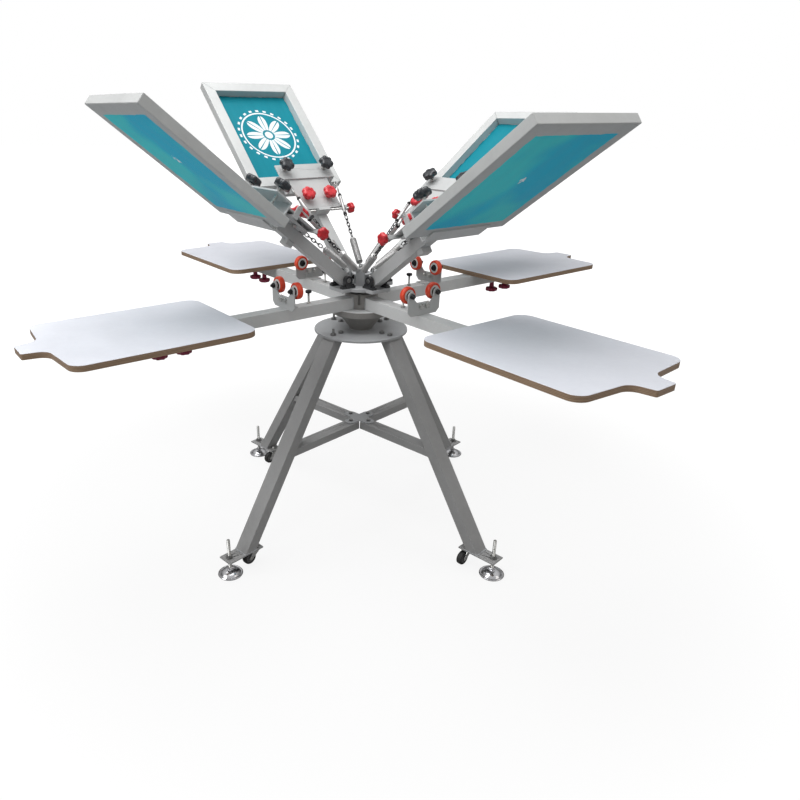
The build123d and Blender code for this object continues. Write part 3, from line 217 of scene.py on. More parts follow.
def make_coated_mesh():
    """Woven mesh under streaked emulsion, in metres of cloth; the cloth is bare near its rim, and its
    underside teal is lighter as painted light.
    """
    outputs = {"Upper": COLOUR, "Lit Lower": COLOUR, "Streak": NUMBER, "Normal": VECTOR, "Roughness": NUMBER}
    tree, given, end = new_group(SHADER_GROUP, "coated_mesh", {"Where": VECTOR}, outputs)
    cloth = given["Where"]
    split = parts_of(tree, cloth)
    sides = (split["X"], split["Y"])
    past = [maths(tree, "SUBTRACT", maths(tree, "ABSOLUTE", side), half)
            for side, half in zip(sides, HALF_COATED)]
    ragged = noise(tree, cloth, 26.0, 4.0)
    edge = maths(tree, "MULTIPLY_ADD", ragged, RAGGED_EDGE, maths(tree, "MAXIMUM", *past))
    coated = maths(tree, "LESS_THAN", edge, 0.002)
    bare = blended(tree, ragged, (0.40, 0.42, 0.42), (0.50, 0.51, 0.51))
    streak = noise(tree, stretched(tree, cloth, (3.0, 26.0, 1.0)), 1.0, 4.0)
    upper = blended(tree, streak, (0.003, 0.185, 0.245), (0.012, 0.255, 0.32))
    # the underside teals are lighter than the upper teal: painted light on the face turned down
    blue = blended(tree, streak, (0.0, 0.40, 0.60), (0.008, 0.52, 0.74))
    green = blended(tree, streak, (0.02, 0.54, 0.60), (0.06, 0.68, 0.72))
    thick = remapped(tree, noise(tree, cloth, 3.4, 2.0), 0.42, 0.60, interpolation_type="SMOOTHSTEP")
    lower = blended(tree, thick, blue, green)
    waves = [maths(tree, "SINE", times(tree, side, tau / THREAD_PITCH)) for side in sides]
    weave = times(tree, *waves)
    relief = node(tree, "ShaderNodeBump", {"Strength": 0.25, "Distance": 0.0001, "Height": weave})
    feed(tree, end, {
        "Upper": blended(tree, coated, bare, upper),
        "Lit Lower": blended(tree, coated, bare, lower),
        "Streak": streak,
        "Normal": relief.outputs[0],
        "Roughness": remapped(tree, streak, 0.0, 1.0, 0.28, 0.5),
    })
    return tree


TONE_DRIFT = make_tone_drift()
SURFACE_GRAIN = make_surface_grain()
COATED_MESH = make_coated_mesh()


# ---------------- finishes
def use_group(tree, which, where, **values):
    """Outputs of a group placed in a material."""
    return node(tree, "ShaderNodeGroup", {"Where": where, **values}, node_tree=which).outputs


def blank_finish(name):
    """New material, its tree and its shader."""
    made = bpy.data.materials.new(name)
    made.use_nodes = True
    return made, made.node_tree, made.node_tree.nodes["Principled BSDF"]


def finish_of(name, dark, light, tone=30.0, smooth=0.35, rough=0.5, patches=25.0, grain=500.0,
              depth=0.0001, metal=0.0, coat=0.0, soft=0.0):
    """Finish with drifting tone, patchy gloss and fine relief."""
    made, tree, shader = blank_finish(name)
    where = node(tree, "ShaderNodeTexCoord").outputs["Object"]
    drift = use_group(tree, TONE_DRIFT, where, Scale=tone, Dark=(*dark, 1), Light=(*light, 1))
    relief = use_group(tree, SURFACE_GRAIN, where, Grain=grain, Depth=depth, Patches=patches,
                       Smooth=smooth, Rough=rough)
    feed(tree, shader, {
        "Base Color": drift["Colour"],
        "Normal": relief["Normal"],
        "Roughness": relief["Roughness"],
        "Metallic": metal,
        "Coat Weight": coat,
        "Coat Roughness": 0.2,
    })
    if soft:
        feed(tree, shader, {"Subsurface Weight": soft, "Subsurface Radius": (0.004, 0.0015, 0.001)})
    return made


POWDER = {"smooth": 0.38, "rough": 0.52, "patches": 18.0, "grain": 900.0, "depth": 0.00025, "coat": 0.08}
PLATING = {"tone": 60.0, "patches": 120.0, "grain": 1500.0, "depth": 0.00008}
MOULDED = {"patches": 60.0, "grain": 900.0}

GREY_COAT = finish_of("grey_powder_coat", (0.36, 0.37, 0.38), (0.42, 0.43, 0.44), tone=5.0, **POWDER)
# darker copy of the grey paint: painted shade on the legs and the brace bars
SHADED_LEG_COAT = finish_of(
    "grey_powder_coat_painted_shade_on_legs", (0.30, 0.30, 0.30), (0.355, 0.355, 0.355), tone=5.0, **POWDER)
# darker copy of the grey paint: painted shade on the pedestal and on the hub under the carousel
HUB_AND_PEDESTAL_SHADE_COAT = finish_of(
    "grey_coat_painted_shade_on_hub_and_pedestal", (0.235, 0.228, 0.218), (0.29, 0.282, 0.27), tone=9.0, grain=700.0,
    depth=0.0003, coat=0.08)
PALE_COAT = finish_of(
    "pale_powder_coat", (0.46, 0.47, 0.47), (0.53, 0.54, 0.54), tone=7.0, smooth=0.36, patches=22.0,
    grain=900.0, depth=0.0002, coat=0.08)
# lighter copy of the grey paint: painted light on the platen spider's arms
LIT_SPIDER_COAT = finish_of("spider_powder_coat_painted_light", (0.56, 0.57, 0.57), (0.63, 0.64, 0.64), tone=7.0)
FRAME_METAL = finish_of(
    "frame_aluminium", (0.52, 0.53, 0.525), (0.60, 0.61, 0.605), tone=4.0, smooth=0.34, patches=9.0,
    grain=1100.0, metal=0.12)
ZINC = finish_of(
    "zinc_plate", (0.52, 0.52, 0.50), (0.68, 0.68, 0.67), smooth=0.22, rough=0.4, metal=1.0, **PLATING)
DULL_ZINC = finish_of(
    "dull_zinc", (0.20, 0.20, 0.20), (0.34, 0.34, 0.335), smooth=0.26, rough=0.42, metal=0.85, **PLATING)
SPRING_STEEL = finish_of(
    "spring_steel", (0.40, 0.40, 0.40), (0.56, 0.555, 0.55), tone=40.0, smooth=0.34, patches=60.0,
    grain=1500.0, depth=0.00005, metal=0.8)
BRIGHT_STEEL = finish_of(
    "bright_steel", (0.60, 0.60, 0.60), (0.78, 0.78, 0.78), tone=50.0, smooth=0.12, rough=0.26,
    patches=80.0, grain=1600.0, depth=0.00005, metal=1.0)
CHROME = finish_of(
    "foot_chrome", (0.58, 0.58, 0.60), (0.70, 0.70, 0.72), smooth=0.16, rough=0.28,
    patches=60.0, grain=1200.0, depth=0.00003, metal=1.0)
BLACK_OXIDE = finish_of(
    "black_oxide", (0.018, 0.018, 0.02), (0.04, 0.04, 0.042), tone=50.0, smooth=0.28, rough=0.45,
    patches=90.0, grain=1300.0, metal=0.6)
BLACK_ENAMEL = finish_of(
    "black_enamel", (0.015, 0.016, 0.018), (0.03, 0.031, 0.034), smooth=0.25, rough=0.42,
    patches=50.0, grain=350.0, depth=0.0004, coat=0.3)
BLACK_KNOB = finish_of(
    "black_knob_plastic", (0.012, 0.014, 0.018), (0.026, 0.03, 0.036), tone=40.0, smooth=0.22, rough=0.36,
    coat=0.2, **MOULDED)
RED_KNOB = finish_of(
    "red_knob_plastic", (0.50, 0.012, 0.022), (0.66, 0.03, 0.04), tone=25.0, smooth=0.25, rough=0.38,
    coat=0.2, soft=0.08, **MOULDED)
CRIMSON_KNOB = finish_of(
    "crimson_knob_plastic", (0.20, 0.004, 0.035), (0.30, 0.008, 0.055), tone=25.0, smooth=0.28,
    rough=0.42, coat=0.15, **MOULDED)
ORANGE_TYRE = finish_of(
    "orange_tyre", (0.66, 0.042, 0.012), (0.80, 0.085, 0.03), smooth=0.3, rough=0.46,
    patches=70.0, grain=700.0, depth=0.00015, soft=0.12)
WHITE_HUB = finish_of(
    "white_hub_plastic", (0.70, 0.69, 0.66), (0.80, 0.79, 0.77), smooth=0.3, rough=0.45,
    grain=900.0, depth=0.00008, soft=0.1)
GREY_HUB = finish_of("grey_hub_plastic", (0.10, 0.10, 0.105), (0.16, 0.16, 0.165))
BLACK_RUBBER = finish_of(
    "black_rubber", (0.012, 0.012, 0.012), (0.035, 0.034, 0.033), tone=40.0, smooth=0.5, rough=0.72,
    patches=60.0, grain=600.0, depth=0.0003)
WELD = finish_of(
    "painted_weld", (0.36, 0.37, 0.385), (0.46, 0.475, 0.49), tone=90.0, smooth=0.34, patches=90.0,
    grain=300.0, depth=0.0006, coat=0.08)

PLY_PITCH = 0.0036  # metres
LAMINATE_HEIGHT = 0.9090  # metres


def make_platen_finish():
    """Pale laminate on top of a brown layered board."""
    made, tree, shader = blank_finish("platen_laminate_and_board")
    where = node(tree, "ShaderNodeTexCoord").outputs["Object"]
    laminate = use_group(tree, TONE_DRIFT, where, Scale=5.0, Dark=(0.65, 0.662, 0.715, 1),
                         Light=(0.71, 0.722, 0.775, 1))
    relief = use_group(tree, SURFACE_GRAIN, where, Grain=420.0, Depth=0.00018, Patches=14.0,
                       Smooth=0.3, Rough=0.44)
    height = parts_of(tree, where)["Z"]
    fibre = noise(tree, stretched(tree, where, (14.0, 14.0, 420.0)), 1.0, 5.0)
    ply = maths(tree, "SINE", times(tree, height, tau / PLY_PITCH))
    layers = maths(tree, "MULTIPLY_ADD", ply, 0.32, fibre)
    board = blended(tree, layers, (0.17, 0.105, 0.062), (0.40, 0.28, 0.185))
    normal = node(tree, "ShaderNodeNewGeometry").outputs["Normal"]
    level = maths(tree, "GREATER_THAN", parts_of(tree, normal)["Z"], 0.7)
    high = maths(tree, "GREATER_THAN", height, LAMINATE_HEIGHT)
    top = maths(tree, "MAXIMUM", level, high)
    feed(tree, shader, {
        "Base Color": blended(tree, top, board, laminate["Colour"]),
        "Normal": relief["Normal"],
        "Roughness": relief["Roughness"],
    })
    return made


PLATEN_FINISH = make_platen_finish()


def rosette(tree, along, over, streak):
    """Mask of a printed flower, in metres: petals with veins, a core, a rim and a ring of beads."""
    along = maths(tree, "SUBTRACT", along, 0.015)
    reach = maths(tree, "SQRT", squared_sum(tree, along, over))
    turn = maths(tree, "ARCTAN2", over, along)
    petals = times(tree, turn, 4.0)

    def ring(radius, half_width):
        """Mask of a circle."""
        off = maths(tree, "ABSOLUTE", maths(tree, "SUBTRACT", reach, radius))
        return maths(tree, "LESS_THAN", off, half_width)

    lobes = maths(tree, "POWER", maths(tree, "ABSOLUTE", maths(tree, "COSINE", petals)), 0.55)
    inside = maths(tree, "LESS_THAN", reach, times(tree, lobes, 0.098))
    off_vein = maths(tree, "GREATER_THAN", maths(tree, "ABSOLUTE", maths(tree, "SINE", petals)), 0.10)
    off_core = maths(tree, "GREATER_THAN", reach, 0.026)
    leaf = times(tree, times(tree, inside, off_vein), off_core)
    core = maths(tree, "LESS_THAN", reach, 0.017)
    dots = maths(tree, "GREATER_THAN", maths(tree, "COSINE", times(tree, turn, 24.0)), 0.25)
    beads = times(tree, dots, ring(0.125, 0.0045))
    flower = maths(tree, "MAXIMUM", maths(tree, "MAXIMUM", ring(0.112, 0.0032), leaf),
                   maths(tree, "MAXIMUM", core, beads))
    return times(tree, flower, maths(tree, "GREATER_THAN", streak, 0.30))


def smear(tree, cloth, along, over, middle):
    """Mask of a ragged thin spot in the emulsion, in metres."""
    off_along = maths(tree, "DIVIDE", maths(tree, "SUBTRACT", along, middle), 0.020)
    off_over = maths(tree, "DIVIDE", over, 0.016)
    off = squared_sum(tree, off_along, off_over)
    ragged = maths(tree, "MULTIPLY_ADD", noise(tree, cloth, 95.0, 3.0), 4.0, off)
    return maths(tree, "LESS_THAN", ragged, 2.35)


PRINTED_SCREEN = 2
SMEARS = {1: 0.03, 4: 0.02}  # metres along the cloth from its middle


def make_screen_finish(number):
    """Emulsion of one screen, a deeper teal on top and a lighter teal on the underside as painted light,
    with its print or its thin spot.
    """
    made, tree, shader = blank_finish(f"mesh_emulsion_{number}")
    cloth = node(tree, "ShaderNodeUVMap", uv_map="cloth").outputs[0]
    split = parts_of(tree, cloth)
    mesh = use_group(tree, COATED_MESH, cloth)
    normal = node(tree, "ShaderNodeNewGeometry").outputs["True Normal"]
    # faces turned down take the lighter teal as painted light
    lit_underside = maths(tree, "LESS_THAN", parts_of(tree, normal)["Z"], 0.0)
    colour = blended(tree, lit_underside, mesh["Upper"], mesh["Lit Lower"])
    marks = None
    if number == PRINTED_SCREEN:
        marks = rosette(tree, split["X"], split["Y"], mesh["Streak"])
    if number in SMEARS:
        marks = smear(tree, cloth, split["X"], split["Y"], SMEARS[number])
    if marks is not None:
        colour = blended(tree, marks, colour, (0.76, 0.80, 0.82))
    feed(tree, shader, {
        "Base Color": colour,
        "Normal": mesh["Normal"],
        "Roughness": mesh["Roughness"],
        "Specular IOR Level": 0.1,
    })
    return made


# ---------------- mesh makers
def skin(bm, rows, slot, closed=False):
    """Faces from each ring of points to the next; a ring of one point closes to a tip."""
    count = max(len(row) for row in rows)
    pairs = list(zip(rows, rows[1:]))
    if closed:
        pairs.append((rows[-1], rows[0]))
    for low, high in pairs:
        for step in range(count):
            after = (step + 1) % count
            corners = (low[step % len(low)], low[after % len(low)],
                       high[after % len(high)], high[step % len(high)])
            corners = list(dict.fromkeys(corners))
            if len(corners) > 2:
                bm.faces.new(corners).material_index = slot


def lathe(bm, profile, place=STILL, count=32, slot=0, wave=None, closed=False):
    """Turned shape about Z from (radius, height) pairs; a ring when closed."""
    rows = []
    for radius, height in profile:
        row = []
        for step in range(count if radius else 1):
            turn = tau * step / count
            reach = radius * (wave(turn, radius) if wave else 1)
            row.append(bm.verts.new(place @ Vector((reach * cos(turn), reach * sin(turn), height))))
        rows.append(row)
    skin(bm, rows, slot, closed)


def mirrored(half):
    """Ring profile from its lower half."""
    return half + tuple((radius, -height) for radius, height in reversed(half))


def prism(bm, outline, low, high, place=STILL, slot=0):
    """Straight block over an outline of (x, y) corners."""
    floor = [bm.verts.new(place @ Vector((x, y, low))) for x, y in outline]
    roof = [bm.verts.new(place @ Vector((x, y, high))) for x, y in outline]
    skin(bm, (floor, roof), slot)
    for end in (floor, roof):
        bm.faces.new(end).material_index = slot


def rod(bm, points, radius, closed=False):
    """Round bar along a path of points."""
    count = len(points)
    rows = []
    side = None
    for step, point in enumerate(points):
        if closed:
            ahead = points[(step + 1) % count] - points[step - 1]
        else:
            ahead = points[min(step + 1, count - 1)] - points[max(step - 1, 0)]
        ahead.normalize()
        if side is None:
            side = ahead.orthogonal().normalized()
        side = (side - ahead * side.dot(ahead)).normalized()
        other = ahead.cross(side)
        row = []
        for eighth in range(8):
            turn = tau * eighth / 8
            row.append(bm.verts.new(point + radius * (cos(turn) * side + sin(turn) * other)))
        rows.append(row)
    skin(bm, rows, 0, closed)
    if not closed:
        bm.faces.new(rows[0][::-1])
        bm.faces.new(rows[-1])


M8_HALF, M10_HALF, M12_HALF = 6.5, 8.5, 9.5  # half the width of a nut across its flats


def hexagon(bm, place, half_flats, height, slot=0):
    """Bolt head or nut with chamfered corners, standing on its place."""
    corner = half_flats / cos(pi / 6)
    profile = ((0, 0), (corner, 0), (corner, height * 0.82), (corner * 0.9, height), (0, height))
    lathe(bm, profile, place, 6, slot)


def washer(bm, place, bore, outer, thick, slot=0):
    """Flat washer lying on its place."""
    profile = ((bore, 0), (outer, 0), (outer, thick), (bore, thick))
    lathe(bm, profile, place, 24, slot, closed=True)


def nut_on_washer(bm, place, half_flats, height, bore, outer, thick):
    """Washer with a nut or a bolt head on it."""
    washer(bm, place, bore, outer, thick)
    hexagon(bm, place @ raised(thick), half_flats, height)


def threaded(bm, place, radius, length, pitch=1.5, slot=0, count=14):
    """Threaded bar from its place, with a chamfered end."""
    profile = [(0, 0), (radius, 0)]
    for turn in range(int((length - 2) / pitch)):
        profile.append((radius, turn * pitch + 0.45 * pitch))
        profile.append((radius * 0.88, turn * pitch + 0.95 * pitch))
    profile += [(radius * 0.95, length - 1.0), (radius * 0.78, length), (0, length)]
    lathe(bm, profile, place, count, slot)


def star_knob(bm, place, radius, height, lobes, slot=0, depth=0.2):
    """Lobed hand knob with a domed, dished top; it stands on its place."""

    def lobe(turn, reach):
        """Lobes fade towards the middle."""
        share = min(1.0, max(0.0, (reach / radius - 0.45) / 0.4))
        return 1 - depth * share * (0.5 - 0.5 * cos(lobes * turn)) ** 1.4

    shares = ((0, 0), (0.34, 0), (0.40, 0.10), (0.74, 0.13), (0.93, 0.19), (1, 0.32), (1, 0.64),
              (0.965, 0.79), (0.87, 0.90), (0.68, 0.97), (0.44, 1), (0.36, 0.985), (0.33, 0.93), (0, 0.93))
    profile = [(radius * out, height * up) for out, up in shares]
    lathe(bm, profile, place, lobes * 10, slot, wave=lobe)


def gather(bm, mesh, place=STILL, slot=0):
    """Adds a finished mesh to a piece under way."""
    seen = len(bm.faces)
    mesh.transform(place)
    bm.from_mesh(mesh)
    bm.faces.ensure_lookup_table()
    for face in bm.faces[seen:]:
        face.material_index = slot


def piece(name, bm, body, finishes, place=STILL, instead_of=(), slot=None, rounding=0.0, sharp=34):
    """Turns a bmesh in millimetres into a piece that rides on a body."""
    bmesh.ops.recalc_face_normals(bm, faces=bm.faces)
    for face in bm.faces:
        face.smooth = True
    for edge in bm.edges:
        edge.smooth = len(edge.link_faces) == 2 and edge.calc_face_angle(0) < radians(sharp)
    mesh = bpy.data.meshes.new(name)
    bm.to_mesh(mesh)
    bm.free()
    mesh.transform(Matrix.Scale(MM, 4) @ place)
    for finish in finishes:
        mesh.materials.append(finish)
    made = put(name, mesh)
    if rounding:
        bevel = made.modifiers.new("edge_rounding", "BEVEL")
        bevel.width = rounding * MM
        bevel.segments = 2
        bevel.limit_method = "ANGLE"
        bevel.angle_limit = radians(35)
        bevel.harden_normals = True
    if body:
        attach(made, body)
    if instead_of:
        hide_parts(*instead_of)
    return made


def stand_in(cad_node, ending, bm, finishes, place, slot, body=None, **looks):
    """Piece in place of one CAD node; its body bears the node's name unless another is given."""
    return piece(f"{cad_node}_{ending}", bm, body or cad_node, finishes, place, (cad_node,), slot, **looks)


def solids_of(cad_node):
    """Triangles of each closed solid of a node in turn, in millimetres."""
    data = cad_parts[cad_node].data
    spots = [tuple(round(value, 3) for value in vert.co * 1000) for vert in data.vertices]
    solids = []
    under_way = []
    open_edges = set()
    for face in data.polygons:
        corners = [spots[index] for index in face.vertices]
        under_way.append(corners)
        for first, second in zip(corners, corners[1:] + corners[:1]):
            if first != second:
                open_edges ^= {frozenset((first, second))}
        if not open_edges:
            solids.append(under_way)
            under_way = []
    return solids + [under_way] if under_way else solids


def softened(cad_node, body, finish, slot, rounding=1.0, second_finish=None, is_second=None):
    """CAD solids with their edges rounded over, in place of the node."""
    bm = bmesh.new()
    for triangles in solids_of(cad_node):
        corner_of = {}
        for corners in triangles:
            for spot in corners:
                if spot not in corner_of:
                    corner_of[spot] = bm.verts.new(spot)
            if len(set(corners)) == 3:
                verts = [corner_of[spot] for spot in corners]
                if bm.faces.get(verts) is None:
                    bm.faces.new(verts)
    bmesh.ops.dissolve_limit(bm, angle_limit=radians(0.6), verts=bm.verts, edges=bm.edges)
    finishes = (finish,)
    if second_finish:
        finishes = (finish, second_finish)
        for face in bm.faces:
            if is_second(face.calc_center_median()):
                face.material_index = 1
    return stand_in(cad_node, "soft", bm, finishes, STILL, slot, body, rounding=rounding, sharp=30)


def repaint(cad_node, finish):
    """New finish on a CAD node that keeps its shape."""
    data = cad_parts[cad_node].data
    data.materials.clear()
    data.materials.append(finish)


# ---------------- geometry node trees
GEOMETRY = "NodeSocketGeometry"


def geometry_tree(name, inputs):
    """Group that grows a mesh, the values that it is given and its end node."""
    inputs = {"Geometry": GEOMETRY, **inputs, "Finish": "NodeSocketMaterial"}
    return new_group("GeometryNodeTree", name, inputs, {"Geometry": GEOMETRY})


def close_tree(tree, given, end, geometry):
    """Realizes the instances, gives them their finish and joins the output."""
    real = node(tree, "GeometryNodeRealizeInstances", {0: geometry})
    painted = node(tree, "GeometryNodeSetMaterial", {0: real.outputs[0], "Material": given["Finish"]})
    feed(tree, end, {0: painted.outputs[0]})
    return tree


def combined(tree, **parts):
    """Vector from its parts."""
    return node(tree, "ShaderNodeCombineXYZ", parts).outputs[0]


def swept(tree, path, wire, sides, capped):
    """Round wire along a curve."""
    section = node(tree, "GeometryNodeCurvePrimitiveCircle", {"Resolution": sides, "Radius": wire})
    inputs = {"Curve": path, "Profile Curve": section.outputs[0], "Fill Caps": capped}
    return node(tree, "GeometryNodeCurveToMesh", inputs).outputs[0]


def make_coil_tree():
    """Close-wound coil standing on the origin along Z."""
    labels = ("Turns", "Radius", "Length", "Wire")
    tree, given, end = geometry_tree("coil_winding", dict.fromkeys(labels, NUMBER))
    spiral = node(tree, "GeometryNodeCurveSpiral", {
        "Resolution": 18,
        "Rotations": given["Turns"],
        "Start Radius": given["Radius"],
        "End Radius": given["Radius"],
        "Height": given["Length"],
    })
    return close_tree(tree, given, end, swept(tree, spiral.outputs[0], given["Wire"], 7, True))


def make_chain_tree():
    """Welded links in a row along Z, each a quarter turn from the last."""
    labels = ("Pitch", "Half length", "Half width", "Wire")
    tree, given, end = geometry_tree("chain_links", {"Links": WHOLE, **dict.fromkeys(labels, NUMBER)})
    gap = combined(tree, Z=given["Pitch"])
    row = node(tree, "GeometryNodeMeshLine", {"Count": given["Links"], "Offset": gap})
    loop = node(tree, "GeometryNodeCurvePrimitiveCircle", {"Resolution": 20, "Radius": 1.0})
    stretch = combined(tree, X=given["Half length"], Y=given["Half width"], Z=1.0)
    drawn = node(tree, "GeometryNodeTransform", {"Geometry": loop.outputs[0], "Scale": stretch})
    on_end = {"Geometry": drawn.outputs[0], "Rotation": (0, pi / 2, 0)}
    upright = node(tree, "GeometryNodeTransform", on_end)
    link = swept(tree, upright.outputs[0], given["Wire"], 8, False)
    index = node(tree, "GeometryNodeInputIndex").outputs[0]
    twist = combined(tree, Z=times(tree, index, pi / 2))
    inputs = {"Points": row.outputs[0], "Instance": link, "Rotation": twist}
    placed = node(tree, "GeometryNodeInstanceOnPoints", inputs)
    return close_tree(tree, given, end, placed.outputs[0])


def make_bead_tree():
    """Overlapping weld ripples along the edges of the carrier mesh."""
    tree, given, end = geometry_tree("weld_beads", {"Spacing": NUMBER, "Size": NUMBER, "Seed": WHOLE})
    path = node(tree, "GeometryNodeMeshToCurve", {0: given["Geometry"]})
    inputs = {"Curve": path.outputs[0], "Length": given["Spacing"]}
    spaced = node(tree, "GeometryNodeResampleCurve", inputs, mode="LENGTH")
    drop = node(tree, "GeometryNodeMeshIcoSphere", {"Subdivisions": 2, "Radius": given["Size"]})
    inputs = {2: 0.8, 3: 1.15, "Seed": given["Seed"]}
    uneven = node(tree, "FunctionNodeRandomValue", inputs, data_type="FLOAT")
    inputs = {"Points": spaced.outputs[0], "Instance": drop.outputs[0], "Scale": uneven.outputs[1]}
    placed = node(tree, "GeometryNodeInstanceOnPoints", inputs)
    return close_tree(tree, given, end, placed.outputs[0])


COIL_TREE = make_coil_tree()
CHAIN_TREE = make_chain_tree()
BEAD_TREE = make_bead_tree()


def grown(tree, values, carrier=None):
    """Plain mesh from a geometry tree, in millimetres."""
    holder = put("carrier", carrier or bpy.data.meshes.new("carrier"))
    modifier = holder.modifiers.new("grow", "NODES")
    modifier.node_group = tree
    names = {item.name: item.identifier for item in tree.interface.items_tree if item.in_out == "INPUT"}
    for label, value in values.items():
        modifier[names[label]] = value
    bpy.context.view_layer.update()
    seen = holder.evaluated_get(bpy.context.evaluated_depsgraph_get())
    result = bpy.data.meshes.new_from_object(seen)
    bpy.data.objects.remove(holder)
    return result


def weld(name, body, place, paths, size, seed):
    """Piece of weld ripples along paths of points."""
    verts = []
    edges = []
    for points in paths:
        first = len(verts)
        verts += points
        edges += [(first + step, first + step + 1) for step in range(len(points) - 1)]
    carrier = bpy.data.meshes.new("seam")
    carrier.from_pydata(verts, edges, [])
    values = {"Spacing": size * 0.8, "Size": size, "Seed": seed, "Finish": WELD}
    bm = bmesh.new()
    gather(bm, grown(BEAD_TREE, values, carrier))
    piece(name, bm, body, (WELD,), place, (), "grey_paint")


# ---------------- stand
PLATE_TOP = 768
STUD_REACHES = (105, 143)
STUD_UNDER = 25
STUD_RISES = {1: 24, 2: 24, 3: 24, 4: 9}  # outer studs above the plate
LEG_SPLAY = atan2(436.7, 686.0)
BRACE_BOLT = (375.94, 0, 356)
HUB_BOLT = (48, 0, 402)
FOOT_REACH = 655
FOOT_PLATE_TOP = 68
FOOT_DISH = ((0, 0), (40, 0), (42.8, 0.9), (44, 3), (43.8, 5), (42.4, 6.6), (40.4, 6.9), (38.6, 6.2),
             (36.6, 5.8), (35.2, 7.0), (33.6, 10.0), (30.5, 13.2), (26, 16.0), (21, 18.4), (17.5, 19.8),
             (15, 20.6), (14, 21), (0, 21))
CASTER_REACH = 545
CASTER_AZIMUTH = 228
CASTER_AXLE = at(26, 0, 28) @ FACING_RIGHT


def pedestal_in_shade(middle):
    """True above the bolted plate, where the turned pedestal stands and takes its painted shade."""
    return middle.z > PLATE_TOP + 0.5


# the pedestal takes the darker coat as painted shade
softened("stand_plate", "base", GREY_COAT, "grey_paint", 1.0, HUB_AND_PEDESTAL_SHADE_COAT, pedestal_in_shade)
# the legs and brace bars take the darker coat as painted shade
for number in STATIONS:
    softened(f"leg_{number}", "base", SHADED_LEG_COAT, "grey_paint", 1.6)
softened("brace_bars", "base", SHADED_LEG_COAT, "grey_paint", 1.2)
softened("brace_plate", "base", GREY_COAT, "grey_paint", 0.8)
repaint("spindle", BRIGHT_STEEL)
repaint("hub_bearings", BLACK_ENAMEL)


def stand_fittings():
    """Studs, nuts, washers and bolts of the stand and the spindle."""
    bm = bmesh.new()
    for number in STATIONS:
        leg = leg_place(number)
        for reach in STUD_REACHES:
            stud = leg @ at(reach, 0, PLATE_TOP)
            rise = STUD_RISES[number] if reach == max(STUD_REACHES) else 10
            nut_on_washer(bm, stud, M10_HALF, 6.6, 5.1, 10.5, 1.6)
            hexagon(bm, stud @ raised(-14) @ FACING_DOWN, M10_HALF, 7.9)
            threaded(bm, stud @ raised(-STUD_UNDER), 4.6, STUD_UNDER + rise)
        brace_bolt = leg @ aimed(BRACE_BOLT, (-cos(LEG_SPLAY), 0, -sin(LEG_SPLAY))) @ raised(5.1)
        for bolt in (leg @ at(*HUB_BOLT), brace_bolt):
            nut_on_washer(bm, bolt, M8_HALF, 5.0, 4.1, 8.4, 1.3)
        nut_on_washer(bm, leg @ at(FOOT_REACH, 0, FOOT_PLATE_TOP), M12_HALF, 9.0, 6.1, 13, 2.0)
    hexagon(bm, raised(760) @ FACING_DOWN, 15, 16)
    nut_on_washer(bm, raised(973), 19, 15, 12.2, 21, 2.0)
    piece("stand_fittings", bm, "base", (DULL_ZINC,), STILL, ("stand_hardware",), "zinc_steel")


stand_fittings()


def levelling_foot(number):
    """Dished pad with a rolled rim, its hexagon and its long threaded stud."""
    bm = bmesh.new()
    lathe(bm, FOOT_DISH, STILL, 56)
    hexagon(bm, raised(21), M12_HALF, 9)
    threaded(bm, raised(29), 6, 114, 1.75, 1, 18)
    place = leg_place(number) @ at(FOOT_REACH, 0, 0)
    stand_in(f"levelling_foot_{number}", "turned", bm, (CHROME, ZINC), place, "foot_chrome", sharp=30)


def caster_fork(number, place):
    """Pressed swivel fork under its race, with its stem and its axle."""
    bm = bmesh.new()
    race = ((0, 54.7), (13, 54.7), (14, 56), (15.5, 57.4), (17.4, 58), (18, 59), (18, 60.6), (17.2, 61.5),
            (0, 61.5))
    lathe(bm, race, STILL, 36)
    threaded(bm, raised(61.4), 4, 15, 1.25)
    washer(bm, raised(68.05), 4.1, 8.4, 1.2)
    hexagon(bm, raised(69.2), M8_HALF, 5.2)
    prism(bm, ((-15, -14), (15, -14), (15, 14), (-15, 14)), 53.6, 54.8)
    cheek = ((-15, 54.7), (15, 54.7), (26, 38), (33.5, 31), (34, 27), (31, 22), (26, 20.4), (20, 22),
             (6, 34), (-9, 46), (-15, 49.5))
    for low in (11.0, -14.0):
        prism(bm, cheek, low, low + 3, FACING_RIGHT)
    for side in (0, pi):
        end = CASTER_AXLE @ Matrix.Rotation(side, 4, "X")
        hexagon(bm, end @ raised(13.9), 5, 2.0)
        lathe(bm, ((0, 0), (3, 0), (3, 15.6), (2.6, 16), (0, 16)), end, 14)
    stand_in(f"caster_fork_{number}", "pressed", bm, (ZINC,), place, "zinc_steel", rounding=0.5)


def caster_wheel(number, place):
    """Soft tyre on a grey hub."""
    bm = bmesh.new()
    tyre = mirrored(((17, -9.0), (21.5, -10), (23.6, -8.8), (24.8, -6), (25, -2)))
    lathe(bm, tyre, CASTER_AXLE, 48, closed=True)
    hub = mirrored(((3.2, -9.8), (6.2, -9.8), (6.8, -7.4), (13.5, -6.4), (16.9, -8.2)))
    lathe(bm, hub, CASTER_AXLE, 40, 1, closed=True)
    stand_in(f"caster_wheel_{number}", "moulded", bm, (BLACK_RUBBER, GREY_HUB), place, "caster_rubber",
             sharp=32)


for number in STATIONS:
    levelling_foot(number)
    swivel = at(*(leg_place(number) @ Vector((CASTER_REACH, 0, 0)))) @ turned(CASTER_AZIMUTH)
    caster_fork(number, swivel)
    caster_wheel(number, swivel)

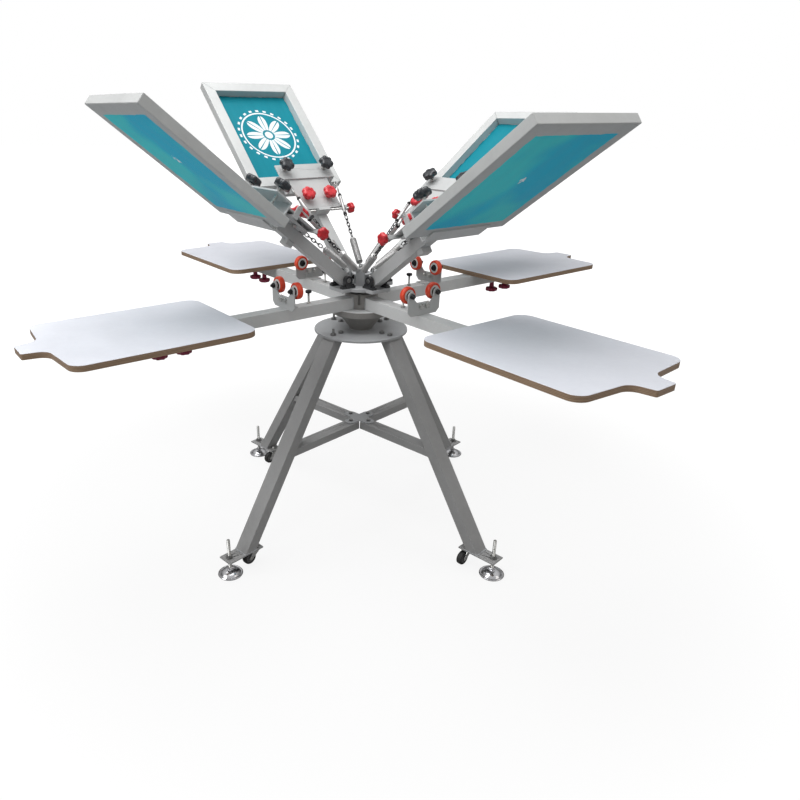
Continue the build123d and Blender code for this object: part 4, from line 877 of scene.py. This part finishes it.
LEG_SEAMS = [((reach, -28, height), (reach, 28, height))
             for reach, height in ((122.4, 753.6), (606.9, 68.4), (559.1, 68.4))]
LEG_SEAMS += [((560, offset, 68.4), (606, offset, 68.4)) for offset in (-29.6, 29.6)]
for number in STATIONS:
    weld(f"leg_seams_{number}", "base", leg_place(number), LEG_SEAMS, 2.3, number)

# ---------------- platen carousel
SLEEVE_RADIUS = 60
ARM_TOP, ARM_UNDER = 892, 850
ARM_HALF = 25
SCREW_REACH = 230
WHEEL_REACH, WHEEL_OFFSET, WHEEL_HEIGHT = 312, 55, 960
EAR_FACE = 332
BRACKET_BOLT_OFFSET, BRACKET_BOLT_HEIGHT = 13, 922
PLATEN_BOLT_REACHES = (700, 780)
PLATEN_KNOB_UNDER = 824


def hub_in_shade(middle):
    """True on the turned hub between the arms, where its painted shade goes."""
    return middle.x ** 2 + middle.y ** 2 < (SLEEVE_RADIUS + 1) ** 2 or middle.z < ARM_UNDER - 0.5


def root_seam():
    """Path over the root of a platen arm and down its two sides."""
    radius = SLEEVE_RADIUS + 0.4
    root = sqrt(radius ** 2 - ARM_HALF ** 2)
    over = [(sqrt(radius ** 2 - w ** 2), w, ARM_TOP + 0.3) for w in range(-24, 25, 4)]
    return [(root, -25.3, 853), *over, (root, 25.3, 853)]


# the hub between the arms takes the darker coat as painted shade
# the spider arms take the lighter coat as painted light
softened("platen_spider", "platen_carousel", LIT_SPIDER_COAT, "grey_paint", 1.0, HUB_AND_PEDESTAL_SHADE_COAT, hub_in_shade)
softened("guide_brackets", "platen_carousel", PALE_COAT, "grey_paint", 0.5)
for number in STATIONS:
    weld(f"arm_seam_{number}", "platen_carousel", station(number), (root_seam(),), 2.4, number)
for number in STATIONS:
    softened(f"platen_{number}", "platen_carousel", PLATEN_FINISH, "platen_face", 0.9)


def guide_wheel(number, side, index):
    """Orange tyre on a white hub with a sealed bearing."""
    bm = bmesh.new()
    spot = at(WHEEL_REACH, side * WHEEL_OFFSET, WHEEL_HEIGHT) @ FACING_OUT
    tyre = mirrored(((19.6, -8.6), (21.5, -9.6), (24.0, -9.8), (26.2, -8.6), (27.6, -5.6), (27.95, -2.0)))
    lathe(bm, tyre, spot, 56, closed=True)
    hub = mirrored(((12.2, -7.6), (13.0, -9.2), (16.0, -9.4), (18.8, -9.2), (19.5, -8.2)))
    lathe(bm, hub, spot, 40, 1, closed=True)
    seal = ((5.2, -8.4), (6.2, -9.5), (8.2, -9.5), (8.6, -8.0), (12.0, -8.0), (12.1, 8.0), (8.6, 8.0),
            (8.2, 9.5), (6.2, 9.5), (5.2, 8.4))
    lathe(bm, seal, spot, 32, 2, closed=True)
    stand_in(f"guide_wheel_{index}", "detail", bm, (ORANGE_TYRE, WHITE_HUB, BLACK_RUBBER), station(number),
             "wheel_red", sharp=40)


for number in STATIONS:
    for pair, side in enumerate(SIDES):
        guide_wheel(number, side, 2 * number - 1 + pair)

# finishes of the carousel's fittings, in the order of their slots
CRIMSON, PLATED, BLACKENED = 0, 1, 2


def platen_bolt(bm, place):
    """Knob under a platen arm, with its collar, washer and bolt."""
    star_knob(bm, place @ raised(PLATEN_KNOB_UNDER) @ FACING_DOWN, 25, 19, 7, CRIMSON, 0.16)
    lathe(bm, ((0, 824), (10, 824), (9, 838), (7.5, 849.9), (0, 849.9)), place, 24, CRIMSON)
    threaded(bm, place @ raised(838), 4, 65, 1.25, PLATED)
    washer(bm, place @ raised(848.3), 4.2, 11, 1.5, PLATED)


def wheel_axle(bm, place):
    """Shoulder bolt of a guide wheel, with its spacer, washer and nut; X is along the axle."""
    cap = ((0, 0), (8.4, 0), (8.4, 5.2), (7.8, 6), (4.2, 6), (4.0, 3), (0, 3))
    lathe(bm, cap, place @ at(301.5, 0, 0) @ FACING_IN, 24, BLACKENED)
    shaft = ((0, 0), (5, 0), (5, 45), (4.4, 46), (0, 46))
    lathe(bm, shaft, place @ at(300, 0, 0) @ FACING_OUT, 20, BLACKENED)
    spacer = ((5.05, 322.6), (8, 322.6), (8, 327.8), (5.05, 327.8))
    lathe(bm, spacer, place @ FACING_OUT, 24, PLATED, closed=True)
    washer(bm, place @ at(EAR_FACE + 0.1, 0, 0) @ FACING_OUT, 5.1, 10, 1.4, PLATED)
    hexagon(bm, place @ at(EAR_FACE + 1.5, 0, 0) @ FACING_OUT, 8, 7, BLACKENED)


def bracket_bolt(bm, place):
    """Bolt of a guide bracket, with its washer and nut; X is along the bolt."""
    washer(bm, place @ at(EAR_FACE + 0.05, 0, 0) @ FACING_OUT, 5.2, 10, 1.2, PLATED)
    hexagon(bm, place @ at(EAR_FACE + 1.2, 0, 0) @ FACING_OUT, 8, 5.3, PLATED)
    threaded(bm, place @ at(EAR_FACE + 2, 0, 0) @ FACING_IN, 4.9, 20, 1.5, PLATED)
    hexagon(bm, place @ at(323.9, 0, 0) @ FACING_IN, 8, 7, PLATED)


def rest_screw(bm, place):
    """Screw that the lowered head rests on, with its lock nut and black cap."""
    hexagon(bm, place @ raised(ARM_TOP), M8_HALF, 6, PLATED)
    threaded(bm, place @ raised(ARM_TOP - 10), 4, 50, 1.25, PLATED)
    cap = ((0, 929.5), (7, 929.5), (10, 931), (11, 933.4), (11, 937.6), (10, 939.3), (0, 939.6))
    lathe(bm, cap, place, 28, BLACKENED)


fittings = bmesh.new()
for number in STATIONS:
    for reach in PLATEN_BOLT_REACHES:
        platen_bolt(fittings, station(number) @ at(reach, 0, 0))
    for side in SIDES:
        wheel_axle(fittings, station(number) @ at(0, side * WHEEL_OFFSET, WHEEL_HEIGHT))
        bracket_bolt(fittings, station(number) @ at(0, side * BRACKET_BOLT_OFFSET, BRACKET_BOLT_HEIGHT))
    rest_screw(fittings, station(number) @ at(SCREW_REACH, 0, 0))
piece("carousel_fittings", fittings, "platen_carousel", (CRIMSON_KNOB, ZINC, BLACK_OXIDE),
      instead_of=("carousel_hardware",), slot="zinc_steel")

# ---------------- print carousel
softened("print_disc", "print_carousel", GREY_COAT, "grey_paint", 0.8)
softened("pillow_blocks", "print_carousel", BLACK_ENAMEL, "black_casting", 0.7)

# ---------------- print heads
EYE_REACH, EYE_OFFSET, EYE_RISE = 355, 105, 54
FRAME_START, FRAME_END = 422, 936
FRAME_HALF = 202
FRAME_MEMBER = 42
FRAME_UNDER, FRAME_TOP = -46.5, -17.6
CLOTH_LENGTH, CLOTH_WIDTH = 510, 400


def pin_end_of(number):
    """Test for the faces of a head's hinge pin that stick out of its sleeve."""
    inward = head_place(number).inverted()

    def test(middle):
        """True out past the sleeve and within the pin's radius."""
        spot = inward @ middle
        return sqrt(spot.x ** 2 + spot.z ** 2) < 7.6 and abs(spot.y) > 24
    return test


def head_seams():
    """Paths of the weld beads of one print arm."""
    seams = []
    for side in SIDES:
        seams.append(((270, side * 20.6, 19.6), (386, side * 20.6, 19.6)))
        seams.append(((257, side * 20.2, -20.2), (281, side * 20.2, -20.2)))
        for face in (-3, 3):
            ear = side * EYE_OFFSET + face
            seams.append(((347, ear, 26.4), (363, ear, 26.4)))
        seams.append(((347, side * 72.3, 26.2), (363, side * 72.3, 26.2)))
    for reach, rise in ((243.7, 20.3), (255.7, -20.3), (282.3, -20.3)):
        seams.append(((reach, -19, rise), (reach, 19, rise)))
    return seams


for number in STATIONS:
    softened(f"print_arm_{number}", f"head_{number}", PALE_COAT, "grey_paint", 1.0, DULL_ZINC,
             pin_end_of(number))
    softened(f"head_carriage_{number}", f"carriage_{number}", PALE_COAT, "grey_paint", 0.7)
    weld(f"head_seams_{number}", f"head_{number}", head_place(number), head_seams(), 1.7, number)


def screen_frame(number):
    """Four mitred box tubes with a hairline joint at each corner."""
    bm = bmesh.new()
    joint = 0.18
    corners = []
    inset = []
    for out_x, out_y in ((-1, -1), (1, -1), (1, 1), (-1, 1)):
        corner = Vector((FRAME_END if out_x > 0 else FRAME_START, out_y * FRAME_HALF))
        corners.append(corner)
        inset.append(corner - FRAME_MEMBER * Vector((out_x, out_y)))
    for step in range(4):
        after = (step + 1) % 4
        shift = (corners[after] - corners[step]).normalized() * joint
        outline = (corners[step] + shift, corners[after] - shift, inset[after] - shift, inset[step] + shift)
        prism(bm, outline, FRAME_UNDER, FRAME_TOP)
    return stand_in(f"screen_frame_{number}", "tubes", bm, (FRAME_METAL,), head_place(number),
                    "frame_aluminium", f"carriage_{number}", rounding=1.6)


def screen_cloth(number, tubes):
    """Stretched cloth glued under the frame, with UV in metres from its middle."""
    bm = bmesh.new()
    layer = bm.loops.layers.uv.new("cloth")
    along, over = 24, 20
    middle = (FRAME_START + FRAME_END) / 2
    for level, flip in ((FRAME_UNDER - 0.05, False), (FRAME_UNDER - 0.45, True)):
        rows = []
        for i in range(along + 1):
            u = middle + CLOTH_LENGTH * (i / along - 0.5)
            across = [CLOTH_WIDTH * (j / over - 0.5) for j in range(over + 1)]
            rows.append([bm.verts.new((u, v, level)) for v in across])
        for i in range(along):
            for j in range(over):
                corners = [rows[i][j], rows[i + 1][j], rows[i + 1][j + 1], rows[i][j + 1]]
                bm.faces.new(corners[::-1] if flip else corners)
    bmesh.ops.bridge_loops(bm, edges=[edge for edge in bm.edges if len(edge.link_faces) == 1])
    for face in bm.faces:
        for loop in face.loops:
            loop[layer].uv = ((loop.vert.co.x - middle) * MM, loop.vert.co.y * MM)
    finishes = (make_screen_finish(number),)
    cloth = stand_in(f"screen_mesh_{number}", "cloth", bm, finishes, head_place(number), "mesh_teal",
                     f"carriage_{number}")


for number in STATIONS:
    screen_cloth(number, screen_frame(number))

# finishes of a head's knobs, in the order of their slots
BLACK, RED, BOLTS = 0, 1, 2


def clamp_knob(bm, place):
    """Black knob that clamps the frame, with its bolt, foot and lock nut."""
    star_knob(bm, place @ raised(65), 28.5, 25, 6, BLACK, 0.22)
    threaded(bm, place @ raised(-17), 5, 88, 1.5, BOLTS)
    lathe(bm, ((0, -17.45), (10, -17.45), (10, -13.5), (6, -12.5), (0, -12.5)), place, 28, BOLTS)
    hexagon(bm, place @ raised(48.1), M10_HALF, 7, BOLTS)


def lock_knob(bm, place):
    """Red knob that locks the carriage, with its collar, bolt and nut."""
    star_knob(bm, place @ raised(54), 27, 23, 7, RED, 0.13)
    lathe(bm, ((0, 42.05), (9.5, 42.05), (9.5, 44), (8, 45), (7.5, 56), (0, 56)), place, 24, RED)
    threaded(bm, place @ raised(11), 5, 40, 1.5, BOLTS)
    hexagon(bm, place @ raised(12.5), M10_HALF, 7, BOLTS)


def side_adjuster(bm, place):
    """Red knob on the long screw that shifts the carriage; Z is along the screw."""
    star_knob(bm, place @ raised(115.6), 20.5, 21, 6, RED, 0.15)
    threaded(bm, place @ raised(34.4), 4, 84, 1.25, BOLTS)
    hexagon(bm, place @ raised(88), M8_HALF, 6, BOLTS)


def head_knobs(number):
    """All the knobs of one head, and the small screw in its carriage."""
    bm = bmesh.new()
    for side, facing in zip(SIDES, (FACING_RIGHT, FACING_LEFT)):
        clamp_knob(bm, at(437, side * 88, 0))
        lock_knob(bm, at(310, side * 48, 0))
        side_adjuster(bm, at(250, 0, 38) @ facing)
    screw = ((0, -5), (2, -5), (2, -0.1), (3.6, 0), (3.5, 1.1), (2.4, 1.9), (0, 2.1))
    lathe(bm, screw, at(258, 0, 35) @ FACING_IN, 16, BOLTS)
    stand_in(f"head_knobs_{number}", "detail", bm, (BLACK_KNOB, RED_KNOB, ZINC), head_place(number),
             "knob_black", f"carriage_{number}")


for number in STATIONS:
    head_knobs(number)

# ---------------- lifting springs
LUG_REACH, LUG_OFFSET, LUG_HEIGHT = 43.5, 9, 985
COIL_START, COIL_LENGTH = 18, 100.0
CHAIN_START, LINK_PITCH, LINKS = 140, 15.6, 6
BUCKLE_START = CHAIN_START + (LINKS - 1) * LINK_PITCH + 12
STEEL, OXIDE, THREAD = 0, 1, 2


def bent(line, radius, middle, start, sweep, count):
    """Wire bent round a point of a line, from a start over a sweep, in degrees."""
    turns = [radians(start + sweep * step / (count - 1)) for step in range(count)]
    return [line @ Vector((radius * sin(turn), 0, middle - radius * cos(turn))) for turn in turns]


def lifting_spring(number, side):
    """Hook, coil, chain and turnbuckle from the carousel lug to the head's eye."""
    bm = bmesh.new()
    lug = station(number) @ turned(side * QUARTER / 2)
    anchor = lug @ Vector((LUG_REACH, -side * LUG_OFFSET, LUG_HEIGHT))
    eye = head_place(number) @ Vector((EYE_REACH, side * EYE_OFFSET, EYE_RISE))
    reach = (eye - anchor).length
    pull = (eye - anchor).normalized()
    line = aimed(anchor, pull)

    def straight(*levels):
        """Points of the line."""
        return [line @ Vector((0, 0, level)) for level in levels]

    rod(bm, bent(line, 5.0, 4.0, -60, 300, 15) + straight(12, 19), 1.5)
    coil = {"Turns": 36.0, "Radius": 10.9, "Length": COIL_LENGTH, "Wire": 1.45, "Finish": SPRING_STEEL}
    gather(bm, grown(COIL_TREE, coil), line @ raised(COIL_START), STEEL)
    for level in (COIL_START - 1.4, COIL_START + COIL_LENGTH + 1.4):
        plug = ((0, level - 1), (9.2, level - 1), (10.8, level), (9.2, level + 1), (0, level + 1))
        lathe(bm, plug, line, 20, STEEL)
    rod(bm, bent(line, 6, 126.5, 0, 337.5, 16), 1.5, closed=True)
    chain = {"Links": LINKS, "Pitch": LINK_PITCH, "Half length": 10.6, "Half width": 5.4, "Wire": 1.7,
             "Finish": ZINC}
    gather(bm, grown(CHAIN_TREE, chain), line @ raised(CHAIN_START), OXIDE)
    buckle_end = reach - 62
    length = buckle_end - BUCKLE_START
    threaded(bm, line @ raised(BUCKLE_START - 4), 2.8, length + 44, 1.0, THREAD, 10)
    hexagon(bm, line @ raised(BUCKLE_START + 2), 6.5, 9, OXIDE)
    sleeve = ((0, 0), (5.4, 0), (6, 1), (6, length - 13), (5.4, length - 12), (0, length - 12))
    lathe(bm, sleeve, line @ raised(BUCKLE_START + 12), 20, STEEL)
    hexagon(bm, line @ raised(buckle_end + 2), 6.5, 7, OXIDE)
    last = bent(line, -6.2, reach - 2, 40, -290, 18)
    rod(bm, straight(buckle_end + 8, reach - 14) + last[::-1], 2.0)
    made = piece(f"lifting_spring_{number}_{'left' if side > 0 else 'right'}", bm, None,
                 (SPRING_STEEL, BLACK_OXIDE, ZINC), STILL, ("head_springs",), "bearing_steel")
    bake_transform(made)


for number in STATIONS:
    for side in SIDES:
        lifting_spring(number, side)


# ---------------- studio
def soft_lamp(name, place, target, size, power, colour=(1, 1, 1)):
    """Square soft box aimed at a point."""
    data = bpy.data.lights.new(name, "AREA")
    data.shape = "SQUARE"
    data.size = size
    data.energy = power
    data.color = colour
    lamp = put(name, data)
    lamp.location = place
    aim = Vector(target) - Vector(place)
    lamp.rotation_euler = aim.to_track_quat("-Z", "Y").to_euler()


def studio_air():
    """World that is white to the eye and lights the press from above."""
    world = bpy.data.worlds.new("studio_air")
    bpy.context.scene.world = world
    world.use_nodes = True
    air = world.node_tree
    rays = node(air, "ShaderNodeLightPath").outputs
    seen = maths(air, "MAXIMUM", rays["Is Camera Ray"], rays["Is Transmission Ray"])
    height = parts_of(air, node(air, "ShaderNodeTexCoord").outputs["Generated"])["Z"]
    sky = remapped(air, height, -0.1, 0.9, 0.07, 0.74, interpolation_type="SMOOTHSTEP")
    strength = remapped(air, seen, 0.0, 1.0, sky, 1.0)
    feed(air, air.nodes["Background"], {"Color": (1, 1, 1, 1), "Strength": strength})


def pale_floor():
    """Matt floor that fades to white away from the press and keeps its shadow."""
    mesh = bpy.data.meshes.new("studio_floor")
    bm = bmesh.new()
    bmesh.ops.create_grid(bm, x_segments=2, y_segments=2, size=30.0)
    bm.to_mesh(mesh)
    bm.free()
    floor = put("studio_floor", mesh)
    finish, tree, shader = blank_finish("pale_floor")
    feed(tree, shader, {"Base Color": (0.35, 0.35, 0.35, 1), "Roughness": 0.9, "Specular IOR Level": 0.0})
    glow = node(tree, "ShaderNodeEmission", {"Color": (1, 1, 1, 1), "Strength": 1.21})
    where = node(tree, "ShaderNodeTexCoord").outputs["Object"]
    away = node(tree, "ShaderNodeVectorMath", {0: where}, operation="LENGTH").outputs["Value"]
    fade = remapped(tree, away, 1.1, 3.2, 0.72, 1.0, interpolation_type="SMOOTHSTEP")
    seen = node(tree, "ShaderNodeLightPath").outputs["Is Camera Ray"]
    share = times(tree, seen, fade)
    both = node(tree, "ShaderNodeMixShader", {0: share, 1: shader.outputs[0], 2: glow.outputs[0]})
    feed(tree, tree.nodes["Material Output"], {"Surface": both.outputs[0]})
    mesh.materials.append(finish)


soft_lamp("overhead_box", (-0.7, -0.2, 4.0), (0, 0, 0.6), 3.0, 104)
soft_lamp("left_box", (-3.6, -2.6, 2.6), (0, 0, 0.8), 2.0, 54)
soft_lamp("right_box", (3.8, -2.2, 2.2), (0, 0, 0.8), 2.2, 16, (1.0, 0.95, 0.9))
studio_air()
pale_floor()

# ---------------- camera
YAW, PITCH, ROLL = radians(-2.708), radians(24.245), radians(0.187)
EYE_POINT = (0.040, -2.41496, 1.49613)  # metres
PICTURE_WIDTH = 800  # pixels
FOCAL_PIXELS, SHIFT_RIGHT, SHIFT_DOWN = 673.3, -59.45, 15.27
SENSOR = 36.0
forward = Vector((sin(YAW) * cos(PITCH), cos(YAW) * cos(PITCH), -sin(PITCH)))
level_right = Vector((cos(YAW), -sin(YAW), 0))
level_up = level_right.cross(forward)
right = cos(ROLL) * level_right + sin(ROLL) * level_up
up = -sin(ROLL) * level_right + cos(ROLL) * level_up
camera_data = bpy.data.cameras.new("viewpoint")
camera_data.sensor_width = SENSOR
camera_data.lens = SENSOR * FOCAL_PIXELS / PICTURE_WIDTH
camera_data.shift_x = -SHIFT_RIGHT / PICTURE_WIDTH
camera_data.shift_y = SHIFT_DOWN / PICTURE_WIDTH
camera = put("viewpoint", camera_data)
turn = Matrix((right, up, -forward)).transposed().to_4x4()
camera.matrix_world = Matrix.Translation(EYE_POINT) @ turn
bpy.context.scene.camera = camera
bpy.context.scene.view_settings.view_transform = "Standard"
